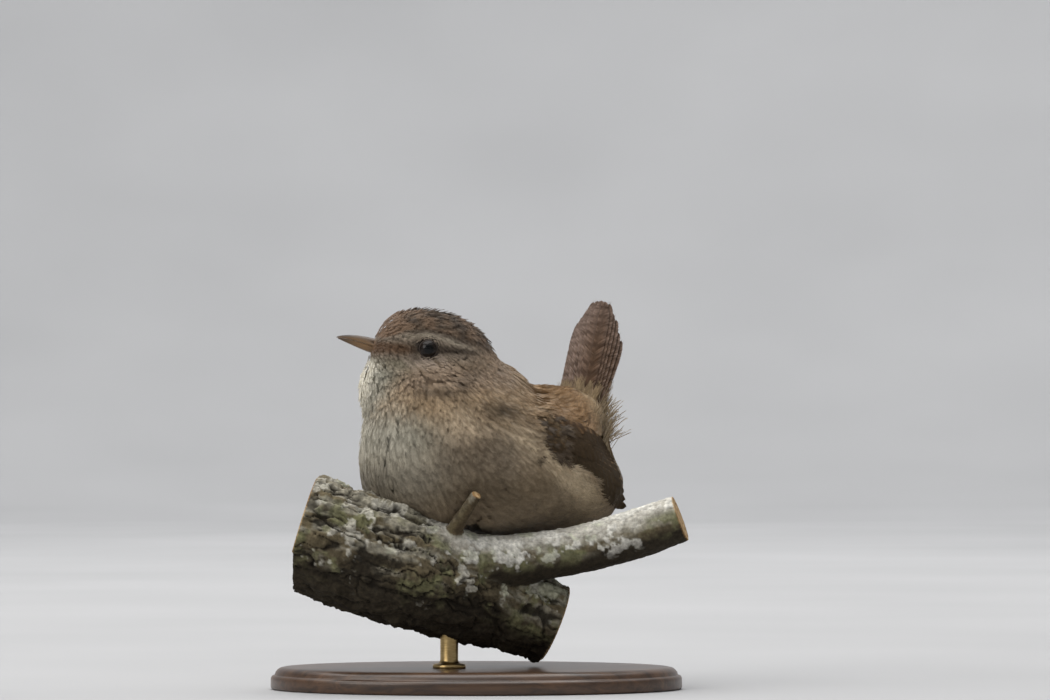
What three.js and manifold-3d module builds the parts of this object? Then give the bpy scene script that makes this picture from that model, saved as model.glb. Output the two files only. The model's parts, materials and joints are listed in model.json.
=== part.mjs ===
// A life-size still model of a Eurasian wren, fluffed up and crouched on a short cut length of forked
// branch, with its tail cocked and its head turned to the side. The branch stands on one short rod in a
// plain oval base. Millimetres, +Z up, the origin at the middle of the base's underside.
//
// The bird is described in its own axes: f forward along its heading, l to its left, z up.
import * as THREE from "three";
import { mergeVertices } from "three/addons/utils/BufferGeometryUtils.js";
import Module from "manifold-3d";

const wasm = await Module();
wasm.setup();

// ---- driving dimensions -------------------------------------------------------------------------
const DEG = Math.PI / 180;
const SHIFT = [3, 8, -1.5]; // from the foot of the trunk's plumb line to the middle of the base's underside
const HEADING = 30 * DEG; // the trunk's heading, from -X towards -Y
const HEAD_YAW = 4 * DEG; // the head looks back along -X
const HEAD_PITCH = 13 * DEG; // bill raised
const HEAD_CENTRE = [-12.4, -6.5, 75.7];
const HEAD_SEMI = [13.4, 8.75, 10.2]; // half length, half width, half height of the plumaged head
const FACE = { at: [7.6, 0, -1.1], semi: [6.4, 4.4, 4.5], blend: 3.0 }; // the face tapers to the bill
const THROAT = { at: [4.6, 0, -8.2], yaw: 22, pitch: 8, semi: [9.8, 7.8, 7.2], blend: 4.0 };
const HEAD_BLEND = 4.5;
// Masses of plumage: centre f, l, z; pitch; half length, half width, half height; blend
const MASSES = {
  belly: { at: [-1, 0, 51.0], pitch: -2, semi: [27.0, 22.0, 17.3], blend: 6 },
  breast: { at: [11, 0, 55.2], pitch: 0, semi: [18.3, 19.5, 19.5], blend: 6 },
  lower_breast: { at: [12.8, 0, 49.0], pitch: 12, semi: [16.0, 17.2, 12.6], blend: 6 },
  chest: { at: [14.3, 0, 61.4], pitch: 0, semi: [13.5, 13.4, 10.8], blend: 6 },
  nape: { at: [5.0, 0, 64.2], pitch: -32, semi: [13.4, 11.6, 9.0], blend: 6 },
  rump: { at: [-19, 0, 58.6], pitch: -35, semi: [9.8, 11.5, 12.7], blend: 5 },
  vent: { at: [-16.5, 0, 47.0], pitch: -10, semi: [15.2, 17.0, 13.0], blend: 6 },
};
const EYE = { at: [2.2, 7.0, 1.35], radius: 2.5 }; // in the head's axes: forward, left, up
const BILL = { base: 10.4, tip: 22.36 }; // forward from the head's centre
const WING = { wrist: [13, 60.5], tip: [-30.3, 41.9], tip_l: 10, lean: 0.17, half_thick: 1.15, upper: 11.4, lower: 3.8 };
const TAIL = { root: [19.4, 11.2, 58], lean: [0.205, 0.115], twist: 15 * DEG, length: 30.8, width: 4.9, spread: 0.34 };
const TOE_R = 0.56; // half the thickness of a toe
const TARSUS_R = 0.65;
const GAP = 0.05; // between pieces that touch
// The branch: x, y, z, radius along each limb
const LIMB = [
  [-42.0, -17.6, 36.6, 12.8], [-36.0, -17.8, 34.8, 13.0], [-30.0, -18.0, 32.6, 13.2], [-20.0, -17.6, 28.9, 13.0],
  [-10.0, -13.6, 25.2, 11.9], [0.0, -8.4, 21.7, 10.4], [8.0, -6.0, 18.6, 9.5], [14.5, -5.0, 16.0, 8.8],
];
const BOUGH = [
  [-18.0, -18.4, 29.8, 9.2], [-10.0, -18.2, 31.2, 7.3], [-4.0, -17.2, 30.4, 6.0], [4.0, -15.4, 30.6, 5.5], [12.0, -13.6, 31.5, 5.3],
  [20.0, -12.5, 32.8, 5.3], [28.0, -12.2, 34.9, 5.4], [36.0, -12.5, 37.4, 5.4], [42.5, -13.2, 39.8, 5.2],
];
const TWIG = [[-9.0, -19.2, 32.8, 2.7], [-7.6, -21.6, 37.6, 1.8], [-5.2, -24.2, 41.8, 1.35], [-2.8, -26.2, 45.4, 1.2]];
const BASE = { rx: 46, ry: 31, thick: 5, bevel: 0.8 };
const ROD = { at: [-9, -14.5], radius: 2.0, into_base: 2.5, top: 17.5 };

// ---- small vector helpers -----------------------------------------------------------------------
const add = (a, b) => [a[0] + b[0], a[1] + b[1], a[2] + b[2]];
const sub = (a, b) => [a[0] - b[0], a[1] - b[1], a[2] - b[2]];
const mul = (a, k) => [a[0] * k, a[1] * k, a[2] * k];
const dot = (a, b) => a[0] * b[0] + a[1] * b[1] + a[2] * b[2];
const cross = (a, b) => [a[1] * b[2] - a[2] * b[1], a[2] * b[0] - a[0] * b[2], a[0] * b[1] - a[1] * b[0]];
const unit = (a) => mul(a, 1 / Math.hypot(...a));
const lerp = (a, b, t) => a + (b - a) * t;
const clamp = (x, lo = 0, hi = 1) => Math.min(hi, Math.max(lo, x));
const ease = (lo, hi, x) => { const t = clamp((x - lo) / (hi - lo)); return t * t * (3 - 2 * t); };
// Forward, left and up of a piece that heads yaw from -X towards -Y, raised by pitch
function axes(yaw, pitch) {
  const fwd = [-Math.cos(yaw) * Math.cos(pitch), -Math.sin(yaw) * Math.cos(pitch), Math.sin(pitch)];
  const left = [Math.sin(yaw), -Math.cos(yaw), 0];
  return [fwd, left, cross(fwd, left)];
}
const from = (frame, centre, q) => add(centre, add(mul(frame[0], q[0]), add(mul(frame[1], q[1]), mul(frame[2], q[2]))));
const TRUNK_AXES = axes(HEADING, 0);
const HEAD_AXES = axes(HEAD_YAW, HEAD_PITCH);
const THROAT_AXES = axes(THROAT.yaw * DEG, THROAT.pitch * DEG);
const bird = (f, l, z) => from(TRUNK_AXES, [0, 0, 0], [f, l, z]);
const inHead = (f, l, u) => from(HEAD_AXES, HEAD_CENTRE, [f, l, u]);

// ---- the plumage as one smooth distance function --------------------------------------------------
function ellipsoid(p, centre, frame, semi) {
  const d = sub(p, centre);
  const q = frame.map((a) => dot(d, a));
  const k0 = Math.hypot(q[0] / semi[0], q[1] / semi[1], q[2] / semi[2]);
  const k1 = Math.hypot(q[0] / semi[0] ** 2, q[1] / semi[1] ** 2, q[2] / semi[2] ** 2);
  return (k0 * (k0 - 1)) / Math.max(k1, 1e-9);
}
const join = (a, b, k) => { const h = clamp(0.5 + (0.5 * (b - a)) / k); return lerp(b, a, h) - k * h * (1 - h); };
const masses = Object.values(MASSES).map((m) => ({ ...m, centre: bird(...m.at), frame: axes(HEADING, m.pitch * DEG) }));
function plumage(p) {
  let d = null;
  for (const m of masses) {
    const e = ellipsoid(p, m.centre, m.frame, m.semi);
    d = d === null ? e : join(d, e, m.blend);
  }
  let h = ellipsoid(p, HEAD_CENTRE, HEAD_AXES, HEAD_SEMI);
  h = join(h, ellipsoid(p, inHead(...FACE.at), HEAD_AXES, FACE.semi), FACE.blend);
  h = join(h, ellipsoid(p, inHead(...THROAT.at), THROAT_AXES, THROAT.semi), THROAT.blend);
  return join(d, h, HEAD_BLEND);
}
// Where the ray from an inner point leaves the plumage
function outOf(centre, way, far = 60) {
  let t = 0;
  for (let i = 0; i < 90; i++) {
    const d = plumage(add(centre, mul(way, t)));
    if (d > -1e-3) break;
    t += Math.max(-d * 0.7, 0.01);
    if (t > far) break;
  }
  return t;
}

// ---- geometry helpers ---------------------------------------------------------------------------
function reshape(geometry, place) {
  const at = geometry.getAttribute("position");
  for (let i = 0; i < at.count; i++) at.setXYZ(i, ...place([at.getX(i), at.getY(i), at.getZ(i)]));
  return geometry;
}
function solid(geometry) {
  const g = geometry.index ? geometry.toNonIndexed() : geometry.clone();
  for (const name of Object.keys(g.attributes)) if (name !== "position") g.deleteAttribute(name);
  const m = mergeVertices(g, 1e-4);
  const s = new wasm.Manifold(new wasm.Mesh({ numProp: 3, vertProperties: m.attributes.position.array, triVerts: new Uint32Array(m.index.array) }));
  if (s.volume() >= 0) return s;
  const turned = new Uint32Array(m.index.array);
  for (let i = 0; i < turned.length; i += 3) [turned[i + 1], turned[i + 2]] = [turned[i + 2], turned[i + 1]];
  return new wasm.Manifold(new wasm.Mesh({ numProp: 3, vertProperties: m.attributes.position.array, triVerts: turned }));
}
function geometryOf(s) {
  const m = s.getMesh(), n = m.numProp, v = new Float32Array(m.numVert * 3);
  for (let i = 0; i < m.numVert; i++) for (let k = 0; k < 3; k++) v[i * 3 + k] = m.vertProperties[i * n + k];
  const g = new THREE.BufferGeometry();
  g.setAttribute("position", new THREE.BufferAttribute(v, 3));
  g.setIndex(new THREE.BufferAttribute(new Uint32Array(m.triVerts), 1));
  g.computeVertexNormals();
  return g;
}
const all = (parts) => parts.reduce((a, b) => a.add(b));
function biggest(s) {
  return s.decompose().sort((a, b) => b.volume() - a.volume())[0];
}
// The body that the plumage function bounds, seen from an inner point
const ball = (centre, wide, high) => solid(reshape(new THREE.SphereGeometry(1, wide, high), (p) => {
  const way = unit(p);
  return add(centre, mul(way, outOf(centre, way)));
}));
// A round or shaped tube: ring(t, angle) gives a point, t from 0 to 1, closed at both ends
const tube = (ring, sides, steps) => solid(reshape(new THREE.CylinderGeometry(1, 1, 1, sides, steps), ([x, y, z]) => {
  const r = Math.hypot(x, z);
  return r < 1e-6 ? ring(0.5 - y, 0, 0) : ring(0.5 - y, Math.atan2(z, x), 1);
}));
function along(rows) {
  const line = new THREE.CatmullRomCurve3(rows.map((r) => new THREE.Vector3(...r.slice(0, 3))), false, "centripetal");
  return (t) => {
    const p = line.getPoint(t), way = line.getTangent(t);
    const i = Math.min(rows.length - 2, Math.floor(t * (rows.length - 1)));
    return { p: p.toArray(), way: way.toArray(), r: lerp(rows[i][3], rows[i + 1][3], t * (rows.length - 1) - i) };
  };
}
function pipe(rows, sides, steps, extra = 0) {
  const at = along(rows), run = unit(sub(rows[rows.length - 1], rows[0])), ref = Math.abs(run[2]) > 0.7 ? [0, 1, 0] : [0, 0, 1];
  return tube((t, a, k) => {
    const s = at(t), side = unit(cross(s.way, ref)), up = cross(side, s.way);
    const r = (s.r + extra) * k;
    return add(s.p, add(mul(side, r * Math.cos(a)), mul(up, r * Math.sin(a))));
  }, sides, steps);
}
const sphere = (centre, r, wide = 14, high = 10) => solid(new THREE.SphereGeometry(r, wide, high).translate(...centre));
// Everything on the side of a plane that its normal points to
function half(point, normal) {
  const g = new THREE.BoxGeometry(400, 400, 400).translate(0, 0, 200);
  g.applyQuaternion(new THREE.Quaternion().setFromUnitVectors(new THREE.Vector3(0, 0, 1), new THREE.Vector3(...unit(normal))));
  return solid(g.translate(...point));
}

// ---- the branch, the rod and the base --------------------------------------------------------------
const branch = (extra, byTwig = extra) => all([
  pipe(LIMB, 18, 10, extra),
  pipe(BOUGH, 12, 12, extra),
  pipe(TWIG, 7, 3, byTwig),
]);
const rod = (extra, low, high) => solid(new THREE.CylinderGeometry(ROD.radius + extra, ROD.radius + extra, high - low, 24)
  .rotateX(Math.PI / 2).translate(ROD.at[0], ROD.at[1], (low + high) / 2));
const rodLow = BASE.thick - ROD.into_base - SHIFT[2];
const perch = branch(0).subtract(rod(0.06, 0, ROD.top + 0.1));
const ellipse = new THREE.Shape().absellipse(0, 0, BASE.rx - BASE.bevel, BASE.ry - BASE.bevel, 0, 2 * Math.PI);
const plinth = solid(new THREE.ExtrudeGeometry(ellipse, { depth: BASE.thick - 2 * BASE.bevel, bevelEnabled: true,
  bevelThickness: BASE.bevel, bevelSize: BASE.bevel, bevelSegments: 1, curveSegments: 16 }).translate(-SHIFT[0], -SHIFT[1], BASE.bevel - SHIFT[2]))
  .subtract(rod(0.06, rodLow - 0.1, 20));

// ---- legs and claws: placed by distance along the branch and angle round it ------------------------
const limbs = [along(LIMB), along(BOUGH)].map((at) => Array.from({ length: 61 }, (_, i) => at(i / 60)));
const toBark = (p) => Math.min(...limbs.flatMap((limb) => limb.map((s) => Math.hypot(...sub(p, s.p)) - s.r)));
function onBark(x, angle, lift) {
  const way = [0, Math.sin(angle), Math.cos(angle)];
  let lo = 0, hi = 20;
  for (let i = 0; i < 30; i++) { const t = (lo + hi) / 2; if (toBark([x, -11 + way[1] * t, 30.2 + way[2] * t]) < lift) lo = t; else hi = t; }
  return [x, -11 + way[1] * lo, 30.2 + way[2] * lo];
}
// Each toe: its run along the branch, its turn round it in degrees, the claw's length
const FEET = {
  l: { x: 13.0, angle: 46, toes: { hind: [6.2, 6, 4.8], inner: [-7.2, 32, 3.2], middle: [-9.8, 4, 3.5], outer: [-8.0, -27, 3.2] } },
  r: { x: -8.0, angle: 47, toes: { hind: [5.9, -14, 4.6], inner: [-7.0, -24, 3.2], middle: [-9.6, 2, 3.5], outer: [-7.9, 26, 3.2] } },
};
const heelOf = (side) => onBark(FEET[side].x, FEET[side].angle * DEG, TOE_R + 0.3);
function toesOf(side) {
  const foot = FEET[side], heel = heelOf(side), grown = [sphere(heel, TOE_R * 1.4, 7, 5)], claws = {};
  for (const [name, [run, turn, claw]] of Object.entries(foot.toes)) {
    const way = Math.sign(run), n = name === "hind" ? 2 : 4, rows = [];
    const joint = (t, lift) => onBark(foot.x + run * t, (foot.angle + turn * t) * DEG, lift);
    for (let i = 0; i <= n; i++) {
      const t = i / n;
      rows.push([...(i ? joint(t, TOE_R + 0.08) : heel), TOE_R * (1.06 - 0.2 * t)]);
    }
    grown.push(pipe(rows, 5, 2 * n));
    // the claw arches off the toe's end and comes down to the bark
    const end = run + way * 3.5 * GAP, bend = [];
    for (let i = 0; i <= 5; i++) {
      const t = i / 5, lift = TOE_R + 0.08 + 0.55 * Math.sin(Math.PI * t) * (claw / 4) - 0.42 * t * t;
      bend.push([...onBark(foot.x + end + way * claw * 0.9 * t, (foot.angle + turn * (1 + 0.2 * t)) * DEG, Math.max(lift, 0.16)), lerp(0.42, 0.09, t ** 1.3)]);
    }
    claws[name] = pipe(bend, 5, 5);
  }
  return { toes: all(grown), claws };
}
function shankOf(side, extra = 0) {
  const heel = heelOf(side), back = bird(-1, 0, 0), top = add(heel, [back[0] * 5.4, back[1] * 5.4 + 1.6, 8.4]);
  return pipe([[...heel, TARSUS_R], [...add(heel, mul(sub(top, heel), 0.5)), TARSUS_R * 0.95], [...top, TARSUS_R * 1.2]], 7, 2, extra);
}

// ---- wings: leaf-shaped blades that lie on the flanks, tips drooped -----------------------------------
function wingHalf(s) {
  const front = s < 0.35 ? Math.sqrt(Math.max(0, 1 - (1 - s / 0.35) ** 2)) : 1;
  const rear = s > 0.7 ? Math.sqrt(Math.max(0, 1 - ((s - 0.7) / 0.3) ** 2.2)) : 1;
  return [(WING.upper - 1.8 + 1.8 * ease(0.3, 0.65, s)) * front * rear, WING.lower * front * Math.pow(1 - s, 0.6)];
}
// How far out the flank lies at this forward distance and height
function flank(f, z, side) {
  const straight = WING.tip_l + (f - WING.tip[0]) * WING.lean;
  let l = 30;
  for (let i = 0; i < 60 && l > 4; i++) {
    const d = plumage(bird(f, side * l, z));
    if (d < 0.02) break;
    l -= Math.max(d * 0.8, 0.02);
  }
  const k = 3, h = clamp(0.5 + (0.5 * (l - straight)) / k);
  return lerp(straight, l, h) + k * h * (1 - h) * 0.6;
}
function wing(side, extra = 0) {
  return solid(reshape(new THREE.SphereGeometry(1, 16, 14).rotateZ(-Math.PI / 2), (p) => {
    const s0 = (p[0] + 1) / 2, ring = Math.hypot(p[1], p[2]);
    const s = clamp(s0), a = ring > 1e-6 ? p[1] / ring : 0, c = ring > 1e-6 ? p[2] / ring : 0;
    const [up, down] = wingHalf(s);
    const e = extra;
    const f = lerp(WING.wrist[0] + e, WING.tip[0] - e * 2, s);
    const z = lerp(WING.wrist[1], WING.tip[1], s) + a * (a > 0 ? up + (ring > 1e-6 ? e : 0) : down + (ring > 1e-6 ? e : 0));
    const thick = (lerp(WING.half_thick, 0.55, ease(0.5, 1, s)) + e) * Math.min(1, ring * 3);
    return bird(f, side * (flank(f, z, side) - 0.25 + c * thick), z);
  }));
}

// ---- tail: twelve graduated feathers fanned from one root --------------------------------------------
const tailWay = unit([TAIL.lean[0], TAIL.lean[1], 1]);
const tailSide = (() => {
  const q = new THREE.Quaternion().setFromAxisAngle(new THREE.Vector3(...tailWay), TAIL.twist);
  const l = new THREE.Vector3(...TRUNK_AXES[1]);
  l.addScaledVector(new THREE.Vector3(...tailWay), -l.dot(new THREE.Vector3(...tailWay))).normalize().applyQuaternion(q);
  return l.toArray();
})();
const tailFace = cross(tailSide, tailWay); // the side that faces the head
const RECTRICES = [0.8, 2.6, 4.6, 6.8, 9.2, 11.8].map((fan, i) => ({ fan, length: TAIL.length - [0, 0.2, 0.8, 1.9, 3.6, 6.0][i], deep: 0.24 * i, off: 0.35 + TAIL.spread * i }));
function rectrix(r, hand) {
  const n = 4, leaf = new THREE.Shape(), w = TAIL.width / 2, L = r.length;
  const half = (t) => w * (0.62 + 0.38 * ease(0, 0.5, t)) * (t > 0.8 ? Math.sqrt(Math.max(0, 1 - ((t - 0.8) / 0.2) ** 2)) * 0.96 + 0.04 * (1 - t) * 5 : 1);
  leaf.moveTo(-half(0), 0);
  for (let i = 1; i < n; i++) leaf.lineTo(-half((i / n) ** 0.8), L * (i / n) ** 0.8);
  leaf.lineTo(0, L);
  for (let i = n - 1; i >= 0; i--) leaf.lineTo(half((i / n) ** 0.8), L * (i / n) ** 0.8);
  leaf.closePath();
  const thick = 0.56;
  const g = new THREE.ExtrudeGeometry(leaf, { depth: thick, bevelEnabled: false, curveSegments: 4 });
  const a = hand * r.fan * DEG;
  return solid(reshape(g, ([x, y, z]) => {
    const u = x * Math.cos(a) + y * Math.sin(a) + hand * r.off, v = y * Math.cos(a) - x * Math.sin(a);
    const deep = z - thick / 2 - r.deep - 0.012 * u * u + (hand > 0 ? 0.05 : 0);
    return add(TAIL.root, add(mul(tailSide, u), add(mul(tailWay, v), mul(tailFace, deep))));
  }));
}
const tail = () => all(RECTRICES.flatMap((r) => [rectrix(r, 1), rectrix(r, -1)]));
// The seat that the fan's narrow end has in the rump
function tailSeat() {
  const slot = new THREE.Shape([[-3.9, -0.5], [3.9, -0.5], [8.0, 14], [-8.0, 14]].map((p) => new THREE.Vector2(...p)));
  const g = new THREE.ExtrudeGeometry(slot, { depth: 2.75, bevelEnabled: false });
  return solid(reshape(g, ([u, v, w]) => add(TAIL.root, add(mul(tailSide, u), add(mul(tailWay, v), mul(tailFace, w - 2.3))))));
}

// ---- bill: two lofted halves, slightly decurved ---------------------------------------------------
const table = (rows, x) => {
  const i = Math.max(0, Math.min(rows.length - 2, rows.findIndex((r, k) => k && r[0] >= x) - 1));
  const j = rows[rows.length - 1][0] <= x ? rows.length - 2 : i;
  return rows[0].map((_, k) => lerp(rows[j][k], rows[j + 1][k], clamp((x - rows[j][0]) / (rows[j + 1][0] - rows[j][0]))));
};
// forward, ridge, cutting edge, underside, half width
const BILL_LINES = [
  [10.36, 0.77, -1.23, -2.63, 2.1], [12.26, 0.92, -1.0, -2.53, 1.85], [13.96, 1.04, -0.78, -2.3, 1.55], [15.76, 1.06, -0.58, -2.06, 1.25], [17.75, 0.92, -0.44, -1.7, 0.95],
  [19.75, 0.58, -0.42, -1.3, 0.66], [21.15, 0.18, -0.48, -1.0, 0.42], [21.86, -0.12, -0.58, -0.84, 0.25], [22.36, -0.44, -0.68, -0.78, 0.1],
];
function billHalf(upper, extra = 0, tip = BILL.tip) {
  return tube((t, a, k) => {
    const f = lerp(BILL.base - extra, tip + extra, t), [, ridge, edge, under, wide] = table(BILL_LINES, f);
    const c = Math.cos(a) * k, s = Math.sin(a) * k, w = (wide + extra) * (upper ? 1 : 0.92);
    const mid = edge + (upper ? 0.03 : -0.03);
    const tall = upper ? ridge + extra - mid : mid - under + extra;
    const flat = 0.04 + extra; // the cutting edges meet on a nearly flat face
    const u = upper ? mid + (s > 0 ? s * tall : s * flat * 0.5) : mid + (s < 0 ? s * tall : s * flat * 0.5);
    return inHead(f, c * w, u);
  }, 10, 9);
}

// ---- the body, divided ---------------------------------------------------------------------------
const heart = ball([0, 0, 52], 30, 20), throat = ball(bird(9, 0, 64), 24, 16), skull = ball(HEAD_CENTRE, 28, 19);
const eyes = { l: inHead(...EYE.at), r: inHead(EYE.at[0], -EYE.at[1], EYE.at[2]) };
const headCut = { at: [-12, -6, 67.0], normal: unit([-0.15, -0.05, 0.98]) };
const trunkCut = { at: [-8, -4, 59.6], normal: unit([-0.27, -0.1, 0.95]) };
const above = (cut, gap) => half(add(cut.at, mul(cut.normal, gap / 2)), cut.normal);
const under = (cut, gap) => half(add(cut.at, mul(cut.normal, -gap / 2)), mul(cut.normal, -1));
const wingCuts = [wing(1, GAP * 1.5), wing(-1, GAP * 1.5)];
let head = skull.intersect(above(headCut, GAP)).subtract(billHalf(true, GAP)).subtract(billHalf(false, GAP));
for (const c of Object.values(eyes)) head = head.subtract(sphere(c, EYE.radius + GAP, 14, 10));
let neck = throat.intersect(under(headCut, GAP)).intersect(above(trunkCut, GAP));
let trunk = heart.intersect(under(trunkCut, GAP)).subtract(tailSeat()).subtract(branch(1.9, 0.4));
for (const w of wingCuts) { neck = neck.subtract(w); trunk = trunk.subtract(w); }
for (const s of ["l", "r"]) trunk = trunk.subtract(shankOf(s, GAP));

// ---- the model -----------------------------------------------------------------------------------
const paint = (color, roughness, metalness = 0) => new THREE.MeshStandardMaterial({ color, roughness, metalness });
const LOOKS = {
  crown: paint(0x5b4a38, 0.95), breast: paint(0x857a68, 0.95), trunk: paint(0x6a5b45, 0.95), wing: paint(0x3a2e22, 0.85), tail: paint(0x5c4938, 0.85),
  horn: paint(0x4a3b2c, 0.45), horn_pale: paint(0x7d6440, 0.45), eye: paint(0x0d0a08, 0.08), leg: paint(0x7a5f4c, 0.6), claw: paint(0x4c3f34, 0.45),
  bark: paint(0x8a857a, 0.95), wood: paint(0x5a3f28, 0.45), metal: paint(0xb59a5a, 0.3, 1),
};
const model = new THREE.Group();
model.name = "wren";
model.position.set(...SHIFT);
function put(name, shape, look) {
  const mesh = new THREE.Mesh(geometryOf(biggest(shape)), LOOKS[look]);
  mesh.name = name;
  model.add(mesh);
}
put("head", head, "crown");
put("neck", neck, "breast");
put("trunk", trunk, "trunk");
put("bill_upper", billHalf(true), "horn");
put("bill_lower", billHalf(false, 0, BILL.tip - 0.35), "horn_pale");
put("eye_l", sphere(eyes.l, EYE.radius, 14, 10), "eye");
put("eye_r", sphere(eyes.r, EYE.radius, 14, 10), "eye");
put("wing_l", wing(1), "wing");
put("wing_r", wing(-1), "wing");
put("tail", tail(), "tail");
for (const s of ["l", "r"]) {
  const { toes, claws } = toesOf(s);
  put("leg_" + s, toes.add(shankOf(s)), "leg");
  for (const [name, claw] of Object.entries(claws)) put("claw_" + name + "_" + s, claw, "claw");
}
put("perch", perch, "bark");
put("stand_rod", rod(0, rodLow, ROD.top), "metal");
put("stand_base", plinth, "wood");

export default model;
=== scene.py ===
import json
import math

import bpy
import numpy as np
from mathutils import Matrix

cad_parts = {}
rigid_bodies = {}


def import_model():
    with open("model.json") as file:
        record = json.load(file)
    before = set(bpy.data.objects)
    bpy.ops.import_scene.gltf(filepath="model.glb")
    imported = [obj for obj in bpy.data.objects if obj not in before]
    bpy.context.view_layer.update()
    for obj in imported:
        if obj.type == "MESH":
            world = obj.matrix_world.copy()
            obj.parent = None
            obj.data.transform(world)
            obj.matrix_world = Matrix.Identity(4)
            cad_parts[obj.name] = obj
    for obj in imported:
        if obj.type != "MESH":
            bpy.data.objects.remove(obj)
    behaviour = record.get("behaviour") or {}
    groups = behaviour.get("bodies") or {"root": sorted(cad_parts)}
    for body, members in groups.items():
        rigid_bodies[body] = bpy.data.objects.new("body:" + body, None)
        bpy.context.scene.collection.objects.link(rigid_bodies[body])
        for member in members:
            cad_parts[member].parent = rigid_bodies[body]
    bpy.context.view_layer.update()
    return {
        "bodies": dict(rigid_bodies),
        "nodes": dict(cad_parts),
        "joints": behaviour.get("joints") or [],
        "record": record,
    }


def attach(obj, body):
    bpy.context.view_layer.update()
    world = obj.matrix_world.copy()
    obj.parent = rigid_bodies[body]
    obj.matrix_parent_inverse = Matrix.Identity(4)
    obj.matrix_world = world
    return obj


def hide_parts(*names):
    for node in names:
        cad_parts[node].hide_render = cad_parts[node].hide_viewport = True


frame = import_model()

# A life-size still model of a fluffed-up Eurasian wren on a short cut length of forked branch.
# Shapes are worked out in millimetres in the bird's own frame and then moved to the stand's frame.
DEG = math.pi / 180
SHIFT = np.array([3.0, 8.0, -1.5])
rng = np.random.default_rng(20)


# ---- vectors and noise -----------------------------------------------------------------------------
def unit(v):
    v = np.asarray(v, float)
    return v / np.maximum(np.linalg.norm(v, axis=-1, keepdims=True), 1e-12)


def ease(lo, hi, x):
    t = np.clip((np.asarray(x, float) - lo) / (hi - lo), 0, 1)
    return t * t * (3 - 2 * t)


def mix(a, b, t):
    return a + (b - a) * t


def mixc(a, b, t):
    return a + (b - a) * np.asarray(t)[..., None]


def dots(a, b):
    return (a * b).sum(-1)


def hashed(i, j, k, seed):
    n = i * 73856093 ^ j * 19349663 ^ k * 83492791 ^ (seed * 26544357 + 12345)
    n = (n ^ (n >> 13)) * 1274126177 & 0x7FFFFFFF
    n = (n ^ (n >> 15)) * 668265263 & 0x7FFFFFFF
    return ((n ^ (n >> 11)) & 0xFFFF) / 65535.0


def noise(p, seed=0):
    """Smooth noise from -1 to 1."""
    p = np.asarray(p, float)
    i = np.floor(p).astype(np.int64)
    f = p - i
    u = f * f * f * (f * (f * 6 - 15) + 10)
    out = 0
    for dx in (0, 1):
        wx = u[..., 0] if dx else 1 - u[..., 0]
        for dy in (0, 1):
            wy = u[..., 1] if dy else 1 - u[..., 1]
            for dz in (0, 1):
                wz = u[..., 2] if dz else 1 - u[..., 2]
                out = out + wx * wy * wz * hashed(i[..., 0] + dx, i[..., 1] + dy, i[..., 2] + dz, seed)
    return out * 2 - 1


def fbm(p, octaves=3, seed=0, gain=0.5):
    out, amp, total = 0, 1.0, 0.0
    for o in range(octaves):
        out = out + amp * noise(np.asarray(p) * 2.03 ** o + 17.3 * o, seed + o)
        total += amp
        amp *= gain
    return out / total


def cells(p, seed=0, dims=3):
    """Distance to the nearest and second nearest cell point, and the nearest cell's own random number."""
    p = np.asarray(p, float)
    i = np.floor(p).astype(np.int64)
    f1 = np.full(p.shape[:-1], 9.0)
    f2 = np.full(p.shape[:-1], 9.0)
    own = np.zeros(p.shape[:-1])
    for dx in (-1, 0, 1):
        for dy in (-1, 0, 1):
            for dz in ((-1, 0, 1) if dims == 3 else (0,)):
                a, b, c = i[..., 0] + dx, i[..., 1] + dy, i[..., 2] + dz
                q = np.stack([a + hashed(a, b, c, seed), b + hashed(a, b, c, seed + 1), c + (hashed(a, b, c, seed + 2) if dims == 3 else 0)], -1)
                w = p - q
                if dims == 2:
                    w = w[..., :2]
                d = np.sqrt((w * w).sum(-1))
                near = d < f1
                f2 = np.where(near, f1, np.minimum(f2, d))
                own = np.where(near, hashed(a, b, c, seed + 3), own)
                f1 = np.where(near, d, f1)
    return f1, f2, own


# ---- the bird's frames -----------------------------------------------------------------------------
def axes(yaw, pitch):
    fwd = np.array([-math.cos(yaw) * math.cos(pitch), -math.sin(yaw) * math.cos(pitch), math.sin(pitch)])
    left = np.array([math.sin(yaw), -math.cos(yaw), 0.0])
    return np.stack([fwd, left, np.cross(fwd, left)])


TRUNK_AXES = axes(30 * DEG, 0)
HEAD_AXES = axes(4 * DEG, 13 * DEG)
HEAD_CENTRE = np.array([-12.4, -6.5, 75.7])


def bird(q):
    return np.asarray(q, float) @ TRUNK_AXES


def to_bird(p):
    return np.asarray(p, float) @ TRUNK_AXES.T


def in_head(q):
    return HEAD_CENTRE + np.asarray(q, float) @ HEAD_AXES


def to_head(p):
    return (np.asarray(p, float) - HEAD_CENTRE) @ HEAD_AXES.T


# ---- the outline of the plumage as one smooth distance function --------------------------------------
MASSES = [
    ([-1, 0, 51.0], -2, [27.0, 22.0, 17.3], 6),
    ([11, 0, 55.2], 0, [18.3, 19.5, 19.5], 6),
    ([12.8, 0, 49.0], 12, [16.0, 17.2, 12.6], 6),
    ([14.3, 0, 61.4], 0, [13.5, 13.4, 10.8], 6),
    ([5.0, 0, 64.2], -32, [13.4, 11.6, 9.0], 6),
    ([-19, 0, 58.6], -35, [9.8, 11.5, 12.7], 5),
    ([-16.5, 0, 47.0], -10, [15.2, 17.0, 13.0], 6),
]
HEAD_SEMI = [13.4, 8.75, 10.2]


def ellipsoid(p, centre, frame, semi):
    q = (p - centre) @ frame.T
    semi = np.asarray(semi, float)
    k0 = np.sqrt(((q / semi) ** 2).sum(-1))
    k1 = np.sqrt(((q / semi ** 2) ** 2).sum(-1))
    return k0 * (k0 - 1) / np.maximum(k1, 1e-9)


def join(a, b, k):
    h = np.clip(0.5 + 0.5 * (b - a) / k, 0, 1)
    return b + (a - b) * h - k * h * (1 - h)


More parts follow.
